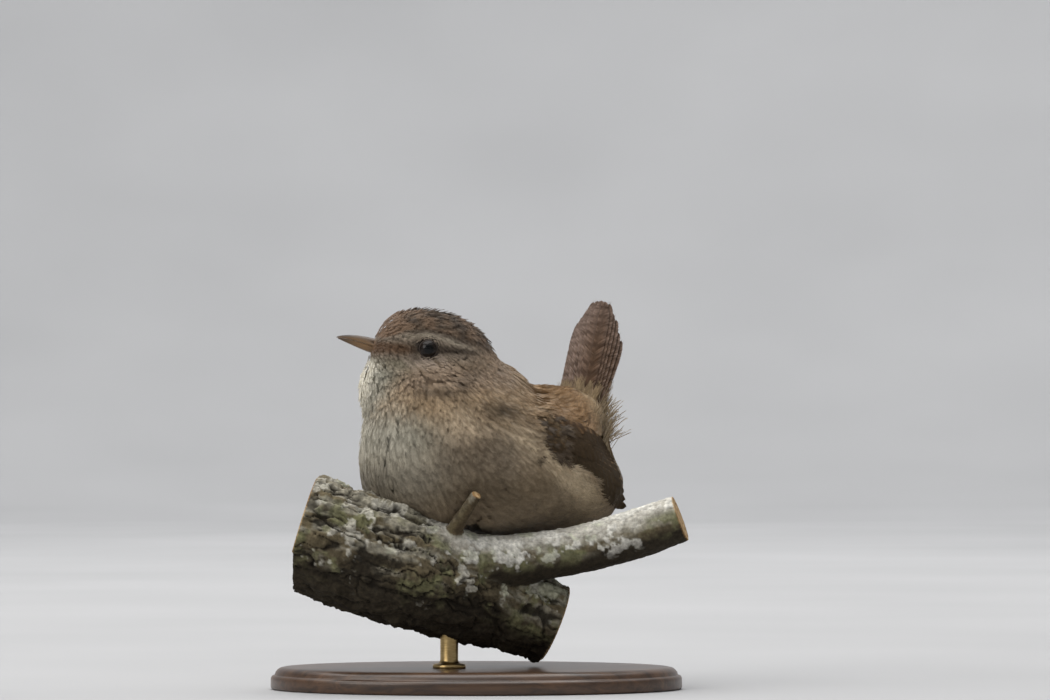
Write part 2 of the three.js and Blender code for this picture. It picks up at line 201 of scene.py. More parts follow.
SHAPES = [(bird(at), axes(30 * DEG, pitch * DEG), semi, k) for at, pitch, semi, k in MASSES]
THROAT_AXES = axes(22 * DEG, 8 * DEG)


def body_and_head(p):
    d = None
    for centre, fr, semi, k in SHAPES:
        e = ellipsoid(p, centre, fr, semi)
        d = e if d is None else join(d, e, k)
    h = ellipsoid(p, HEAD_CENTRE, HEAD_AXES, HEAD_SEMI)
    h = join(h, ellipsoid(p, in_head([7.6, 0, -1.1]), HEAD_AXES, [6.4, 4.4, 4.5]), 3.0)
    h = join(h, ellipsoid(p, in_head([4.6, 0, -8.2]), THROAT_AXES, [9.8, 7.8, 7.2]), 4.0)
    return d, h


def rear(p):
    """The plumage lies a little flatter over the rump and behind the wings."""
    b = to_bird(p)
    f, z = b[..., 0], b[..., 2]
    return 2.0 * np.exp(-((z - 54.5) / 5.2) ** 2) * ease(-15, -24, f) + 1.3 * np.exp(-((f + 17) / 6.5) ** 2) * ease(62, 68, z)


def plumage(p):
    d, h = body_and_head(p)
    return join(d, h, 4.5) + rear(p)


def slope_of(f, p, e=0.06):
    v = f(p)
    g = np.stack([(f(p + np.eye(3)[k] * e) - v) / e for k in range(3)], -1)
    return v, g


def settle(p, target, steps=2):
    """Moves points along the slope to a level of the plumage function."""
    for _ in range(steps):
        v, g = slope_of(plumage, p)
        p = p - ((v - target) / np.maximum(dots(g, g), 0.3))[..., None] * g
    return p


EYE = np.array([2.2, 7.0, 1.35])
EYE_R = 2.5
BILL_ROOT = np.array([12.6, 0, -0.9])


def face_distance(q):
    """Distance in the head's axes from the eyes' rims and from the bill's root."""
    a = np.stack([q[..., 0], np.abs(q[..., 1]), q[..., 2]], -1)
    eye = np.sqrt((((a - EYE) / [1, 1, 1]) ** 2).sum(-1)) - EYE_R
    bill = np.sqrt((((a - BILL_ROOT) / [1.0, 1.0, 1.0]) ** 2).sum(-1)) - 1.6
    return eye, bill


def headness(p):
    d, h = body_and_head(p)
    return ease(-2.5, 3.0, d - h)


def rise(p):
    """How far the plumage stands above the smooth outline: a full forehead, a fluffed throat."""
    q = to_head(p)
    f, l, u = q[..., 0], np.abs(q[..., 1]), q[..., 2]
    up = 0.55 * np.exp(-(((f - 8.8) / 3.2) ** 2 + ((u - 5.4) / 3.2) ** 2))
    up = up + 0.95 * np.exp(-(((f - 12.0) / 3.0) ** 2 + ((u - 4.0) / 2.4) ** 2))
    up = up + 0.9 * np.exp(-(((f - 13.0) / 3.5) ** 2 + ((u + 7.0) / 4.0) ** 2)) * ease(7, 2, l)
    return up * headness(p)


def coat_depth(p):
    """How far the skin lies below the feathers' tips."""
    eye, bill = face_distance(to_head(p))
    d = mix(1.2, 0.75, headness(p))
    d = mix(0.22, d, ease(0.1, 5.5, np.minimum(eye, bill)))
    return np.maximum(d - 0.8 * rise(p), 0.18)


# ---- the branch ------------------------------------------------------------------------------------
LIMB = [
    [-42.0, -17.6, 36.6, 12.8], [-36.0, -17.8, 34.8, 13.0], [-30.0, -18.0, 32.6, 13.2], [-20.0, -17.6, 28.9, 13.0],
    [-10.0, -13.6, 25.2, 11.9], [0.0, -8.4, 21.7, 10.4], [8.0, -6.0, 18.6, 9.5], [14.5, -5.0, 16.0, 8.8],
]
BOUGH = [
    [-18.0, -18.4, 29.8, 9.2], [-10.0, -18.2, 31.2, 7.3], [-4.0, -17.2, 30.4, 6.0], [4.0, -15.4, 30.6, 5.5], [12.0, -13.6, 31.5, 5.3],
    [20.0, -12.5, 32.8, 5.3], [28.0, -12.2, 34.9, 5.4], [36.0, -12.5, 37.4, 5.4], [42.5, -13.2, 39.8, 5.2],
]
TWIG = [[-9.0, -19.2, 32.8, 2.7], [-7.6, -21.6, 37.6, 1.8], [-5.2, -24.2, 41.8, 1.35], [-2.8, -26.2, 45.4, 1.2]]


def curve(rows, n):
    """Points, directions and radii along a centripetal Catmull-Rom curve through the rows."""
    P = np.array([r[:3] for r in rows])
    R = np.array([r[3] for r in rows])
    ext = np.vstack([2 * P[0] - P[1], P, 2 * P[-1] - P[-2]])
    out = []
    for t in np.linspace(0, len(P) - 1, n):
        i = min(int(t), len(P) - 2)
        w = t - i
        p0, p1, p2, p3 = ext[i:i + 4]
        k1 = max(np.linalg.norm(p1 - p0), 1e-9) ** 0.5
        k2 = k1 + max(np.linalg.norm(p2 - p1), 1e-9) ** 0.5
        k3 = k2 + max(np.linalg.norm(p3 - p2), 1e-9) ** 0.5
        x = k1 + (k2 - k1) * w
        a1 = p0 * (k1 - x) / k1 + p1 * x / k1
        a2 = p1 * (k2 - x) / (k2 - k1) + p2 * (x - k1) / (k2 - k1)
        a3 = p2 * (k3 - x) / (k3 - k2) + p3 * (x - k2) / (k3 - k2)
        b1 = a1 * (k2 - x) / k2 + a2 * x / k2
        b2 = a2 * (k3 - x) / (k3 - k1) + a3 * (x - k1) / (k3 - k1)
        out.append([*(b1 * (k2 - x) / (k2 - k1) + b2 * (x - k1) / (k2 - k1)), mix(R[i], R[i + 1], w)])
    out = np.array(out)
    way = unit(np.gradient(out[:, :3], axis=0))
    step = np.concatenate([[0], np.cumsum(np.linalg.norm(np.diff(out[:, :3], axis=0), axis=1))])
    return {"p": out[:, :3], "r": out[:, 3], "way": way, "s": step}


WOOD = [curve(LIMB, 64), curve(BOUGH, 72), curve(TWIG, 24)]


def wood_distance(p, which=(0, 1, 2), blend=2.2, full=False):
    """Distance to the branch, and for each point the nearest limb with its place on it."""
    p = np.asarray(p, float)
    flat = p.reshape(-1, 3)
    dist = np.empty(len(flat))
    info = np.zeros((len(flat), 2), np.int32) if full else None
    every = np.empty((len(flat), len(which))) if full else None
    for a in range(0, len(flat), 60000):
        q = flat[a:a + 60000]
        ds, idx = [], []
        for w in which:
            c = WOOD[w]
            d2 = (q * q).sum(1)[:, None] - 2 * q @ c["p"].T + (c["p"] ** 2).sum(1)[None]
            d = np.sqrt(np.maximum(d2, 0)) - c["r"][None]
            k = d.argmin(1)
            ds.append(d[np.arange(len(q)), k])
            idx.append(k)
        ds = np.stack(ds, 1)
        best = ds[:, 0]
        for w in range(1, ds.shape[1]):
            best = join(best, ds[:, w], blend if which[w] < 2 else 1.0)
        dist[a:a + 60000] = best
        if full:
            near = ds.argmin(1)
            info[a:a + 60000, 0] = near
            info[a:a + 60000, 1] = np.stack(idx, 1)[np.arange(len(q)), near]
            every[a:a + 60000] = ds
    if full:
        return dist.reshape(p.shape[:-1]), info, every
    return dist.reshape(p.shape[:-1])


# ---- meshes from arrays ----------------------------------------------------------------------------
def mesh_object(name, verts, faces, colour=None, uv=None, smooth=False, material=None, scaled=True, normals=None):
    """faces is an (n, 3) or (n, 4) array. Colours are linear, one for each vertex."""
    me = bpy.data.meshes.new(name)
    V = np.asarray(verts, float)
    if scaled:
        V = (V + SHIFT) * 0.001
    F = np.asarray(faces, np.int32)
    k = F.shape[1]
    me.vertices.add(len(V))
    me.vertices.foreach_set("co", V.astype(np.float32).ravel())
    me.loops.add(F.size)
    me.loops.foreach_set("vertex_index", F.ravel())
    me.polygons.add(len(F))
    me.polygons.foreach_set("loop_start", np.arange(0, F.size, k, dtype=np.int32))
    me.polygons.foreach_set("use_smooth", np.full(len(F), smooth, bool))
    me.update(calc_edges=True)
    if colour is not None:
        at = me.color_attributes.new("Col", "FLOAT_COLOR", "POINT")
        at.data.foreach_set("color", np.hstack([np.clip(colour, 0, 1), np.ones((len(V), 1))]).astype(np.float32).ravel())
    if uv is not None:
        layer = me.uv_layers.new(name="OFBake")
        layer.data.foreach_set("uv", np.asarray(uv, np.float32)[F.ravel()].ravel())
    if normals is not None:
        # a face that looks another way than its normals gets its own
        A, B, C = V[F[:, 0]], V[F[:, 1]], V[F[:, 2]]
        own = unit(np.cross(B - A, C - A))[:, None]
        k = np.asarray(normals)[F]
        d = dots(k, own)[..., None]
        k = np.where(d > 0.12, k, unit(own + 0.5 * (k - d * own)))
        me.normals_split_custom_set(k.reshape(-1, 3).astype(np.float32))
    ob = bpy.data.objects.new(name, me)
    bpy.context.scene.collection.objects.link(ob)
    if material is not None:
        me.materials.append(material)
    return ob


def surface_nets(F, origin, h):
    """A closed quad mesh of the zero level of a field on a grid."""
    S = F < 0
    n = np.array(F.shape)
    count = np.zeros(n - 1, np.int8)
    for dx in (0, 1):
        for dy in (0, 1):
            for dz in (0, 1):
                count += S[dx:n[0] - 1 + dx, dy:n[1] - 1 + dy, dz:n[2] - 1 + dz]
    active = (count > 0) & (count < 8)
    ids = np.full(active.shape, -1, np.int64)
    at = np.argwhere(active)
    ids[active] = np.arange(len(at))
    total = np.zeros((len(at), 3))
    hits = np.zeros(len(at))
    corners = [(0, 0, 0), (1, 0, 0), (0, 1, 0), (1, 1, 0), (0, 0, 1), (1, 0, 1), (0, 1, 1), (1, 1, 1)]
    for a, b in [(0, 1), (2, 3), (4, 5), (6, 7), (0, 2), (1, 3), (4, 6), (5, 7), (0, 4), (1, 5), (2, 6), (3, 7)]:
        ca, cb = np.array(corners[a]), np.array(corners[b])
        fa = F[tuple((at + ca).T)]
        fb = F[tuple((at + cb).T)]
        m = (fa < 0) != (fb < 0)
        t = (fa / np.where(m, fa - fb, 1))[:, None]
        total[m] += (ca + t * (cb - ca))[m]
        hits[m] += 1
    verts = np.asarray(origin) + h * (at + total / hits[:, None])
    quads = []
    for axis in range(3):
        u, v = (axis + 1) % 3, (axis + 2) % 3
        low = [slice(None)] * 3
        high = [slice(None)] * 3
        low[axis], high[axis] = slice(0, -1), slice(1, None)
        a, b = S[tuple(low)], S[tuple(high)]
        e = np.argwhere(a != b)
        e = e[(e[:, u] > 0) & (e[:, v] > 0) & (e[:, u] < n[u] - 1) & (e[:, v] < n[v] - 1)]
        inside = a[tuple(e.T)]
        c = []
        for du, dv in ((-1, -1), (0, -1), (0, 0), (-1, 0)):
            g = e.copy()
            g[:, u] += du
            g[:, v] += dv
            c.append(ids[tuple(g.T)])
        q = np.stack(c, 1)
        q[~inside] = q[~inside][:, ::-1]
        quads.append(q)
    return verts, np.vstack(quads)


def tetra_mesh(F, origin, h):
    """A closed triangle mesh of the zero level of a field on a grid, every edge of it shared by two faces only."""
    n = np.array(F.shape)
    F = np.where(np.abs(F) < 1e-5, 1e-5, F)
    corner = np.array([(0, 0, 0), (1, 0, 0), (1, 1, 0), (0, 1, 0), (0, 0, 1), (1, 0, 1), (1, 1, 1), (0, 1, 1)])
    S = F < 0
    count = np.zeros(n - 1, np.int8)
    for a, b, c in corner:
        count += S[a:n[0] - 1 + a, b:n[1] - 1 + b, c:n[2] - 1 + c]
    G = np.argwhere((count > 0) & (count < 8))[:, None] + corner[None]
    flat = (G[..., 0] * n[1] + G[..., 1]) * n[2] + G[..., 2]
    val = F.ravel()[flat]
    found = []
    for tet in ((0, 5, 1, 6), (0, 1, 2, 6), (0, 2, 3, 6), (0, 3, 7, 6), (0, 7, 4, 6), (0, 4, 5, 6)):
        v, g = val[:, tet], flat[:, tet]
        inner = v < 0
        many = inner.sum(1)
        for want in (1, 3):
            m = many == want
            apex = (inner[m] if want == 1 else ~inner[m]).argmax(1)
            rest = np.array([[1, 2, 3], [0, 2, 3], [0, 1, 3], [0, 1, 2]])[apex]
            row = np.arange(len(apex))
            gm = g[m]
            found.append(np.stack([np.stack([gm[row, apex], gm[row, rest[:, k]]], -1) for k in range(3)], 1))
        m = many == 2
        gm = np.take_along_axis(g[m], np.argsort(~inner[m], axis=1, kind="stable"), 1)
        a, b, c, d = gm.T
        for keys in (((a, c), (a, d), (b, d)), ((a, c), (b, d), (b, c))):
            found.append(np.stack([np.stack(k, -1) for k in keys], 1))
    keys = np.sort(np.concatenate(found), -1)
    code = keys[..., 0].astype(np.int64) * int(n.prod()) + keys[..., 1]
    own, back = np.unique(code.ravel(), return_inverse=True)
    lo, hi = own // int(n.prod()), own % int(n.prod())
    place = lambda k: np.stack([k // (n[1] * n[2]), k // n[2] % n[1], k % n[2]], -1).astype(float)
    fl, fh = F.ravel()[lo], F.ravel()[hi]
    t = np.clip(fl / (fl - fh), 0.06, 0.94)[:, None]
    pl, ph = place(lo), place(hi)
    V = np.asarray(origin) + h * (pl + t * (ph - pl))
    out = (ph - pl) * np.where(fl < 0, 1, -1)[:, None]
    T = back.reshape(-1, 3)
    M = (pl + ph) / 2
    nrm = np.cross(M[T[:, 1]] - M[T[:, 0]], M[T[:, 2]] - M[T[:, 0]])
    turn = dots(nrm, out[T].sum(1)) < 0
    T[turn] = T[turn][:, ::-1]
    return V, T


def field_on_grid(f, low, high, h, band=2.5, coarse=4):
    """Evaluates a distance function on a grid, finely only near its zero level."""
    low, high = np.asarray(low, float), np.asarray(high, float)
    n = np.ceil((high - low) / (h * coarse)).astype(int) + 1
    ax = [low[k] + np.arange(n[k]) * h * coarse for k in range(3)]
    G = np.stack(np.meshgrid(*ax, indexing="ij"), -1)
    C = f(G.reshape(-1, 3)).reshape(n)
    m = (n - 1) * coarse + 1
    for axis in range(3):
        x = np.arange(m[axis]) / coarse
        i = np.minimum(x.astype(int), n[axis] - 2)
        w = x - i
        shape = [1, 1, 1]
        shape[axis] = -1
        w = w.reshape(shape)
        C = np.take(C, i, axis) * (1 - w) + np.take(C, i + 1, axis) * w
    C = C.astype(np.float32)
    near = np.argwhere(np.abs(C) < band)
    C[tuple(near.T)] = f(low + near * h)
    return C, low


# ---- palette: colours of the plumage, as they look under soft light ----------------------------------
def tone(r, g, b, k=1.0):
    c = np.array([r, g, b]) / 255.0
    lin = np.where(c <= 0.04045, c / 12.92, ((c + 0.055) / 1.055) ** 2.4)
    return lin * k


GAIN = 1.2
CROWN = tone(92, 77, 62, GAIN)
CROWN_DARK = tone(58, 47, 37, GAIN)
FOREHEAD = tone(114, 91, 71, GAIN)
BROW = tone(152, 142, 125, GAIN)
LINE = tone(56, 46, 36, GAIN)
LORE = tone(84, 62, 43, GAIN)
CHEEK = tone(116, 104, 90, GAIN)
CHEEK_BUFF = tone(176, 160, 146, GAIN)
CHEEK_DARK = tone(82, 68, 54, GAIN)
CHIN = tone(108, 101, 85, GAIN)
THROAT = tone(120, 117, 104, GAIN)
# a painted rim light, given as a colour: the bright edge of the throat and breast
RIM_LIGHT_PAINT = tone(216, 210, 194, GAIN)
BREAST = tone(146, 138, 122, GAIN)
SIDE = tone(156, 140, 118, GAIN)
FLANK = tone(122, 106, 83, GAIN)
BELLY = tone(110, 96, 76, GAIN)
# the neck's brown, also used for painted shade in the crease below the cheek
NECK_BROWN_AND_SHADE = tone(86, 71, 54, GAIN)
NAPE = tone(130, 112, 93, GAIN)
MANTLE = tone(142, 121, 94, GAIN)
BACK = tone(120, 93, 61, GAIN)
RUMP = tone(144, 124, 94, GAIN)
VENT = tone(98, 78, 54, GAIN)
OLIVE = tone(62, 50, 34, GAIN)
FLANK_PALE = tone(190, 172, 144, GAIN)
DARK = tone(52, 42, 33, GAIN)
BUFF = tone(150, 130, 102, GAIN)
WING_DARK = tone(60, 49, 35, GAIN)
WING_BAR = tone(112, 88, 62, GAIN)
TAIL_RUFOUS = tone(90, 70, 55, GAIN)
TAIL_DARK = tone(60, 47, 38, GAIN)
# pale feather edges and tips, and a painted sheen over the far half of the tail
TAIL_PALE_AND_SHEEN = tone(118, 102, 93, GAIN)
LID = tone(54, 45, 38, 0.9)
SKIN = tone(96, 74, 66, 1.0)


def spread_of(c, like):
    return np.broadcast_to(c, like.shape)


def coat_colour(p, n):
    """The markings of the plumage at points on its surface, with the outward direction there."""
    q = to_head(p)
    b = to_bird(p)
    f, l, u = q[..., 0], np.abs(q[..., 1]), q[..., 2]
    bf, bl, z = b[..., 0], np.abs(b[..., 1]), b[..., 2]
    nz = n[..., 2]
    nf = dots(n, TRUNK_AXES[0])
    wash = noise(p / 5.0, 131)
    spots = noise(p / [1.9, 1.9, 1.5], 137)
    # body
    c = np.broadcast_to(FLANK, p.shape).copy()
    c = mixc(c, SIDE, ease(-4, 8, bf) * ease(44, 54, z))
    c = mixc(c, NECK_BROWN_AND_SHADE, 0.20 * ease(0.2, 0.5, wash + 0.3) * ease(2, 8, bf) * ease(18, 12, bf) * ease(50, 54, z) * ease(62, 58, z))
    c = mixc(c, BELLY, ease(51, 42, z) * ease(-22, -10, bf))
    c = mixc(c, VENT, ease(-14, -24, bf) * ease(54, 48, z))
    front = ease(0.30, 0.85, nf) * ease(38, 50, z)
    c = mixc(c, BREAST, front)
    c = mixc(c, THROAT, ease(0.45, 0.9, nf) * ease(50, 60, z) * 0.8)
    c = mixc(c, BELLY, ease(49, 43, z) * ease(0.9, 0.3, nf) * 0.6)
    top = ease(0.05, 0.55, nz + 0.25 * ease(10, -20, bf)) * ease(58, 64, z + 0.25 * ease(5, -25, bf) * 20)
    c = mixc(c, MANTLE, top)
    c = mixc(c, BACK, top * ease(0, -14, bf))
    # olive-brown shoulder feathers with a paler middle
    shoulder = np.exp(-(((bf - 7.0) / 6.0) ** 2 + ((z - 63.6) / 2.3) ** 2)) * ease(10, 13, bl)
    c = mixc(c, OLIVE, 0.92 * shoulder)
    c = mixc(c, BUFF, 0.45 * np.exp(-(((bf - 5.0) / 2.6) ** 2 + ((z - 66.4) / 1.2) ** 2)) * ease(10, 13, bl))
    edge = np.exp(-(((bf - 7.2) / 3.6) ** 2 + ((z - 60.3) / 0.7) ** 2)) * ease(12, 15, bl)
    c = mixc(c, BUFF, 0.75 * edge)
    c = mixc(c, NECK_BROWN_AND_SHADE, 0.42 * np.exp(-(((bf - 14.5) / 7.0) ** 2 + ((z - 55.2) / 4.4) ** 2)) * ease(10, 13, bl))
    c = mixc(c, SIDE * 1.35, 0.75 * np.exp(-(((bf - 17.5) / 4.0) ** 2 + ((z - 61.0) / 3.8) ** 2)) * ease(10, 13, bl))
    rump = ease(-19, -24, bf) * ease(49, 55, z)
    c = mixc(c, RUMP, rump)
    # the flank is palest just under the wing's edge; painted shade darkens the lower side
    pale = np.exp(-(((bf + 9.0) / 9.5) ** 2 + ((z - 49.0 - 0.62 * (bf + 9.0)) / 3.4) ** 2)) * ease(10, 13, bl)
    c = mixc(c, FLANK_PALE, np.clip(pale * 1.2, 0, 0.95) * (0.85 + 0.3 * spots))
    low = ease(61, 53, z) * ease(3, 8, bf) * ease(25, 21, bf) + ease(54, 48, z) * ease(19, 24, bf)
    c = c * (1 - 0.34 * np.clip(low, 0, 1) * ease(40, 50, z))[..., None]
    # a pale patch where the wing's front comes out of the coat
    c = mixc(c, FLANK_PALE, 0.8 * np.exp(-(((bf - 2.6) / 1.8) ** 2 + ((z - 57.2) / 1.1) ** 2)) * ease(12, 15, bl))
    c = c * (1 + 0.10 * wash * ease(0.6, 0.2, nf))[..., None]
    # neck and head
    h = headness(p)
    c = mixc(c, NAPE, ease(66, 71, z) * ease(-6, 2, bf) * (1 - h))
    # streaks run down and back over the cheek
    al, ac = -0.86 * f - 0.51 * u, 0.51 * f - 0.86 * u
    streaks = noise(np.stack([al / 3.4, ac / 0.78, l * 0 + 3.0 * np.sign(q[..., 1])], -1), 139) + 0.35 * noise(np.stack([al / 1.6, ac / 0.42, l * 0], -1), 149)
    cheek = np.exp(-(((f + 1.0) / 6.5) ** 2 + ((u + 3.6) / 3.4) ** 2))
    hc = np.broadcast_to(CHEEK, p.shape).copy()
    hc = mixc(hc, CHIN, ease(1.5, 7.5, f) * ease(-1.6, -3.4, u + 0.1 * (f - 8)))
    hc = mixc(hc, CHEEK_BUFF, cheek * ease(-0.35, 0.20, streaks))
    hc = mixc(hc, CHEEK_DARK, ease(0.25, 0.7, cheek) * ease(-0.15, -0.5, streaks) * 0.8)
    hc = mixc(hc, NECK_BROWN_AND_SHADE, ease(-5, -9, f) * ease(1.5, -2, u))
    # painted shade below the cheek, in the crease where the head meets the body
    hc = mixc(hc, NECK_BROWN_AND_SHADE, 0.8 * ease(-6.5, -9.5, u + 0.25 * (f + 2)) * ease(3.0, -3.0, f))
    hc = mixc(hc, NAPE, ease(-5, -11, f) * ease(-1, 3, u))
    edge_u = np.interp(f, [-12, -6, -1.7, 3, 7.2, 9.5, 12.5], [4.2, 4.8, 5.5, 5.6, 4.3, 2.8, 1.4])
    crown = ease(-0.5, 0.6, u - edge_u)
    hc = mixc(hc, CROWN, crown)
    hc = mixc(hc, CROWN_DARK, crown * ease(0.0, 0.42, spots + 0.35 * np.exp(-(((f - 7.2) / 1.8) ** 2 + ((u - 6.2) / 1.4) ** 2))) * 0.85)
    hc = mixc(hc, FOREHEAD, crown * ease(6.5, 10.5, f) * 0.85)
    hc = mixc(hc, FOREHEAD, crown * ease(0.05, -0.4, spots) * 0.5)
    # the space before the eye is greyish over a rufous-brown band that runs on into the bill
    hc = mixc(hc, CHEEK, ease(4.5, 6.5, f) * ease(0.6, 1.6, u + 0.14 * (f - 6)) * (1 - crown))
    # the pale brow runs from before the eye over it to the side of the nape
    brow_u = np.interp(f, [-12, -6, -2.2, 0.6, 3.4, 5.4, 8.0, 10.5], [3.3, 3.75, 4.1, 4.45, 4.4, 3.5, 2.9, 2.3])
    brow = np.exp(-((u - brow_u) / np.interp(f, [-8, -2, 2], [0.42, 0.5, 0.55])) ** 2) * ease(10.5, 5.0, f) * ease(-12.5, -5, f)
    hc = mixc(hc, BROW, np.clip(brow * (0.85 + 0.45 * noise(np.stack([f / 2.2, u / 0.9, l / 3], -1), 151)), 0, 0.92))
    over = np.exp(-((u - brow_u - 1.05) / 0.5) ** 2) * ease(8, 5, f) * ease(-12, -8, f)
    hc = mixc(hc, CROWN_DARK, over * 0.65)
    line_u = np.interp(f, [-11, -7, -2.6, 0, 4, 6, 8.3, 10.5, 13.5], [2.9, 2.75, 2.05, 1.7, 0.9, 0.3, 0.0, -0.3, -0.8])
    line_w = np.interp(f, [-11, -6, -2.6, 0, 4, 8.3, 11, 13.5], [0.45, 0.6, 0.8, 1.1, 1.15, 1.30, 1.35, 1.7])
    line = np.exp(-(np.abs(u - line_u) / line_w) ** 3) * ease(-11, -6, f)
    hc = mixc(hc, mixc(spread_of(LINE, p), spread_of(LORE, p), ease(4.5, 7.5, f)), np.clip(line * 1.1, 0, 0.95))
    # a paler rim under the eye, and a dark spot at its lower front
    hc = mixc(hc, CHEEK_BUFF, 0.55 * np.exp(-(((f - 1.0) / 2.2) ** 2 + ((u + 2.05) / 0.45) ** 2)))
    hc = mixc(hc, LINE, 0.8 * np.exp(-(((f - 4.6) / 1.1) ** 2 + ((u + 1.35) / 0.65) ** 2)))
    hc = mixc(hc, THROAT, ease(6.0, 11.0, f) * ease(-4.5, -6.5, u))
    # painted rim light on the lower throat where it faces forward
    hc = mixc(hc, RIM_LIGHT_PAINT, ease(0.66, 0.98, dots(n, HEAD_AXES[0])) * ease(-3.0, -5.0, u))
    c = mixc(c, hc, h)
    # painted rim light: the pale front of the throat carries on to the top of the breast, brightest where the surface
    # faces towards -x
    painted_rim_light = np.maximum(ease(0.80, 0.99, -n[..., 0]), 0.5 * ease(0.62, 0.98, nf)) * ease(48, 58, z) * ease(74, 70, z)
    c = mixc(c, mixc(spread_of(THROAT, p), spread_of(RIM_LIGHT_PAINT, p), 0.75), painted_rim_light * 0.7)
    # a darker band of painted shade curves from below the cheek up behind it, along the crease between head and body
    band = np.zeros(p.shape[:-1])
    for (f0, u0), (f1, u1) in (((2.2, -8.4), (-5.7, -6.8)), ((-5.7, -6.8), (-8.4, -2.0))):
        t = np.clip(((f - f0) * (f1 - f0) + (u - u0) * (u1 - u0)) / ((f1 - f0) ** 2 + (u1 - u0) ** 2), 0, 1)
        band = np.maximum(band, np.exp(-(((f - f0 - t * (f1 - f0)) ** 2 + (u - u0 - t * (u1 - u0)) ** 2) / 1.7 ** 2)))
    c = mixc(c, NECK_BROWN_AND_SHADE * 0.72, 0.88 * band * ease(2, 5, l) * (0.8 + 0.3 * streaks))
    return c


def marks(p, n):
    """How strongly the feathers there carry dark bars, dark streaks and pale tips."""
    q = to_head(p)
    b = to_bird(p)
    f, l, u = q[..., 0], np.abs(q[..., 1]), q[..., 2]
    bf, z, nz = b[..., 0], b[..., 2], n[..., 2]
    h = headness(p)
    top = ease(0.0, 0.5, nz) * ease(58, 62, z)
    bars = 0.42 * top * (1 - h) + 0.5 * ease(-10, -22, bf) * (1 - h) + 0.28 * ease(2, -10, bf) * ease(58, 50, z)
    cheek = h * ease(3.0, 1.0, u) * ease(-7, -1, u + 3) * ease(8, 4, f)
    streak = 0.25 * h * ease(3.6, 5.0, u) + 0.2 * cheek + 0.06 * (1 - h)
    pale = 0.12 + 0.2 * cheek
    return bars, streak, pale


# ---- the lie of the coat ---------------------------------------------------------------------------
def both(rows):
    out = []
    for at, way in rows:
        out.append((at, way))
        if at[1] != 0:
            out.append(([at[0], -at[1], at[2]], [way[0], -way[1], way[2]]))
    return out


HEAD_FLOW = both([
    ([11, 0, 3], [-0.6, 0, 0.8]), ([3, 0, 10], [-1, 0, 0.1]), ([-8, 0, 7], [-0.8, 0, -0.6]), ([9, 3, 1], [-1, 0.3, 0.1]),
    ([2, 7, 5], [-1, 0.1, 0.05]), ([-2, 8.5, 2], [-1, 0.1, -0.25]), ([-2, 9, -2], [-0.9, 0.1, -0.45]), ([6, 6, -4], [-0.75, 0.3, -0.6]),
    ([9, 0, -4.5], [-0.5, 0, -0.85]), ([6, 0, -11], [-0.2, 0, -1]), ([-4, 9, -9], [-0.7, 0.1, -0.7]), ([-12, 0, 0], [-0.7, 0, -0.7]),
    ([6, 4, 7], [-1, 0.1, 0.3]), ([-4, 6, 7], [-0.95, 0.1, -0.2]), ([-9, 6, 1], [-0.8, 0.05, -0.5]), ([3, 8, -9], [-0.4, 0.1, -0.9]),
])
BODY_FLOW = both([
    ([5, 0, 72], [-0.85, 0, -0.5]), ([-2, 0, 71], [-1, 0, 0]), ([-12, 0, 71], [-1, 0, 0]), ([-20, 0, 70], [-0.9, 0, 0.2]),
    ([-24, 0, 68], [-0.6, 0, 0.8]), ([-29, 0, 62], [-0.2, 0, 1]), ([-31, 0, 52], [-0.15, 0, 1]), ([-28, 0, 42], [-0.6, 0, 0.8]),
    ([-20, 0, 36], [-0.95, 0, 0.3]), ([0, 0, 34], [-1, 0, 0]), ([18, 0, 38], [-0.8, 0, -0.5]), ([24, 0, 42], [-0.6, 0, -0.8]),
    ([28, 0, 50], [-0.1, 0, -1]), ([28, 0, 58], [0.1, 0, -1]), ([26, 0, 62], [0.05, 0, -1]), ([18, 13, 60], [-0.3, 0.12, -0.93]),
    ([22, 12, 58], [-0.3, 0.12, -0.93]), ([20, 10, 46], [-0.35, 0.05, -0.9]), ([12, 13, 66], [-0.5, 0.1, -0.85]), ([0, 15, 66], [-0.8, 0.2, -0.5]),
    ([-10, 14, 63], [-0.95, 0, -0.2]), ([5, 21, 50], [-0.8, 0, -0.55]), ([-10, 20, 49], [-0.75, 0, -0.66]), ([-14, 19, 45], [-0.80, 0, -0.55]), ([-3, 20, 52], [-0.8, 0, -0.5]),
    ([-8, 17, 40], [-0.95, 0, -0.2]), ([8, 15, 38], [-0.9, 0, -0.4]), ([-20, 10, 62], [-0.7, -0.3, 0.5]), ([-22, 14, 50], [-0.9, -0.2, 0.25]),
])
FLOW_AT = np.array([in_head(a) for a, _ in HEAD_FLOW] + [bird(a) for a, _ in BODY_FLOW])
FLOW_WAY = np.array([unit(np.array(w, float) @ HEAD_AXES) for _, w in HEAD_FLOW] + [unit(bird(w)) for _, w in BODY_FLOW])


def flow(p, n):
    """Direction in which the feathers lie, along the surface."""
    w = np.zeros(p.shape)
    for at, way in zip(FLOW_AT, FLOW_WAY):
        d2 = ((p - at) ** 2).sum(-1)
        w += way / ((d2 + 6.0) ** 2)[..., None]
    w = unit(w)
    # feathers part round each eye
    for side in (1, -1):
        c = in_head([EYE[0], side * EYE[1], EYE[2]])
        r = p - c
        r = r - dots(r, n)[..., None] * n
        d2 = np.maximum((r * r).sum(-1), 2.0)
        near = ease(7.0, 3.0, np.linalg.norm(p - c, axis=-1))
        w = w + (near * 5.5 / d2)[..., None] * (w - 2 * dots(w, unit(r))[..., None] * unit(r))
    w = w - dots(w, n)[..., None] * n
    return unit(w)


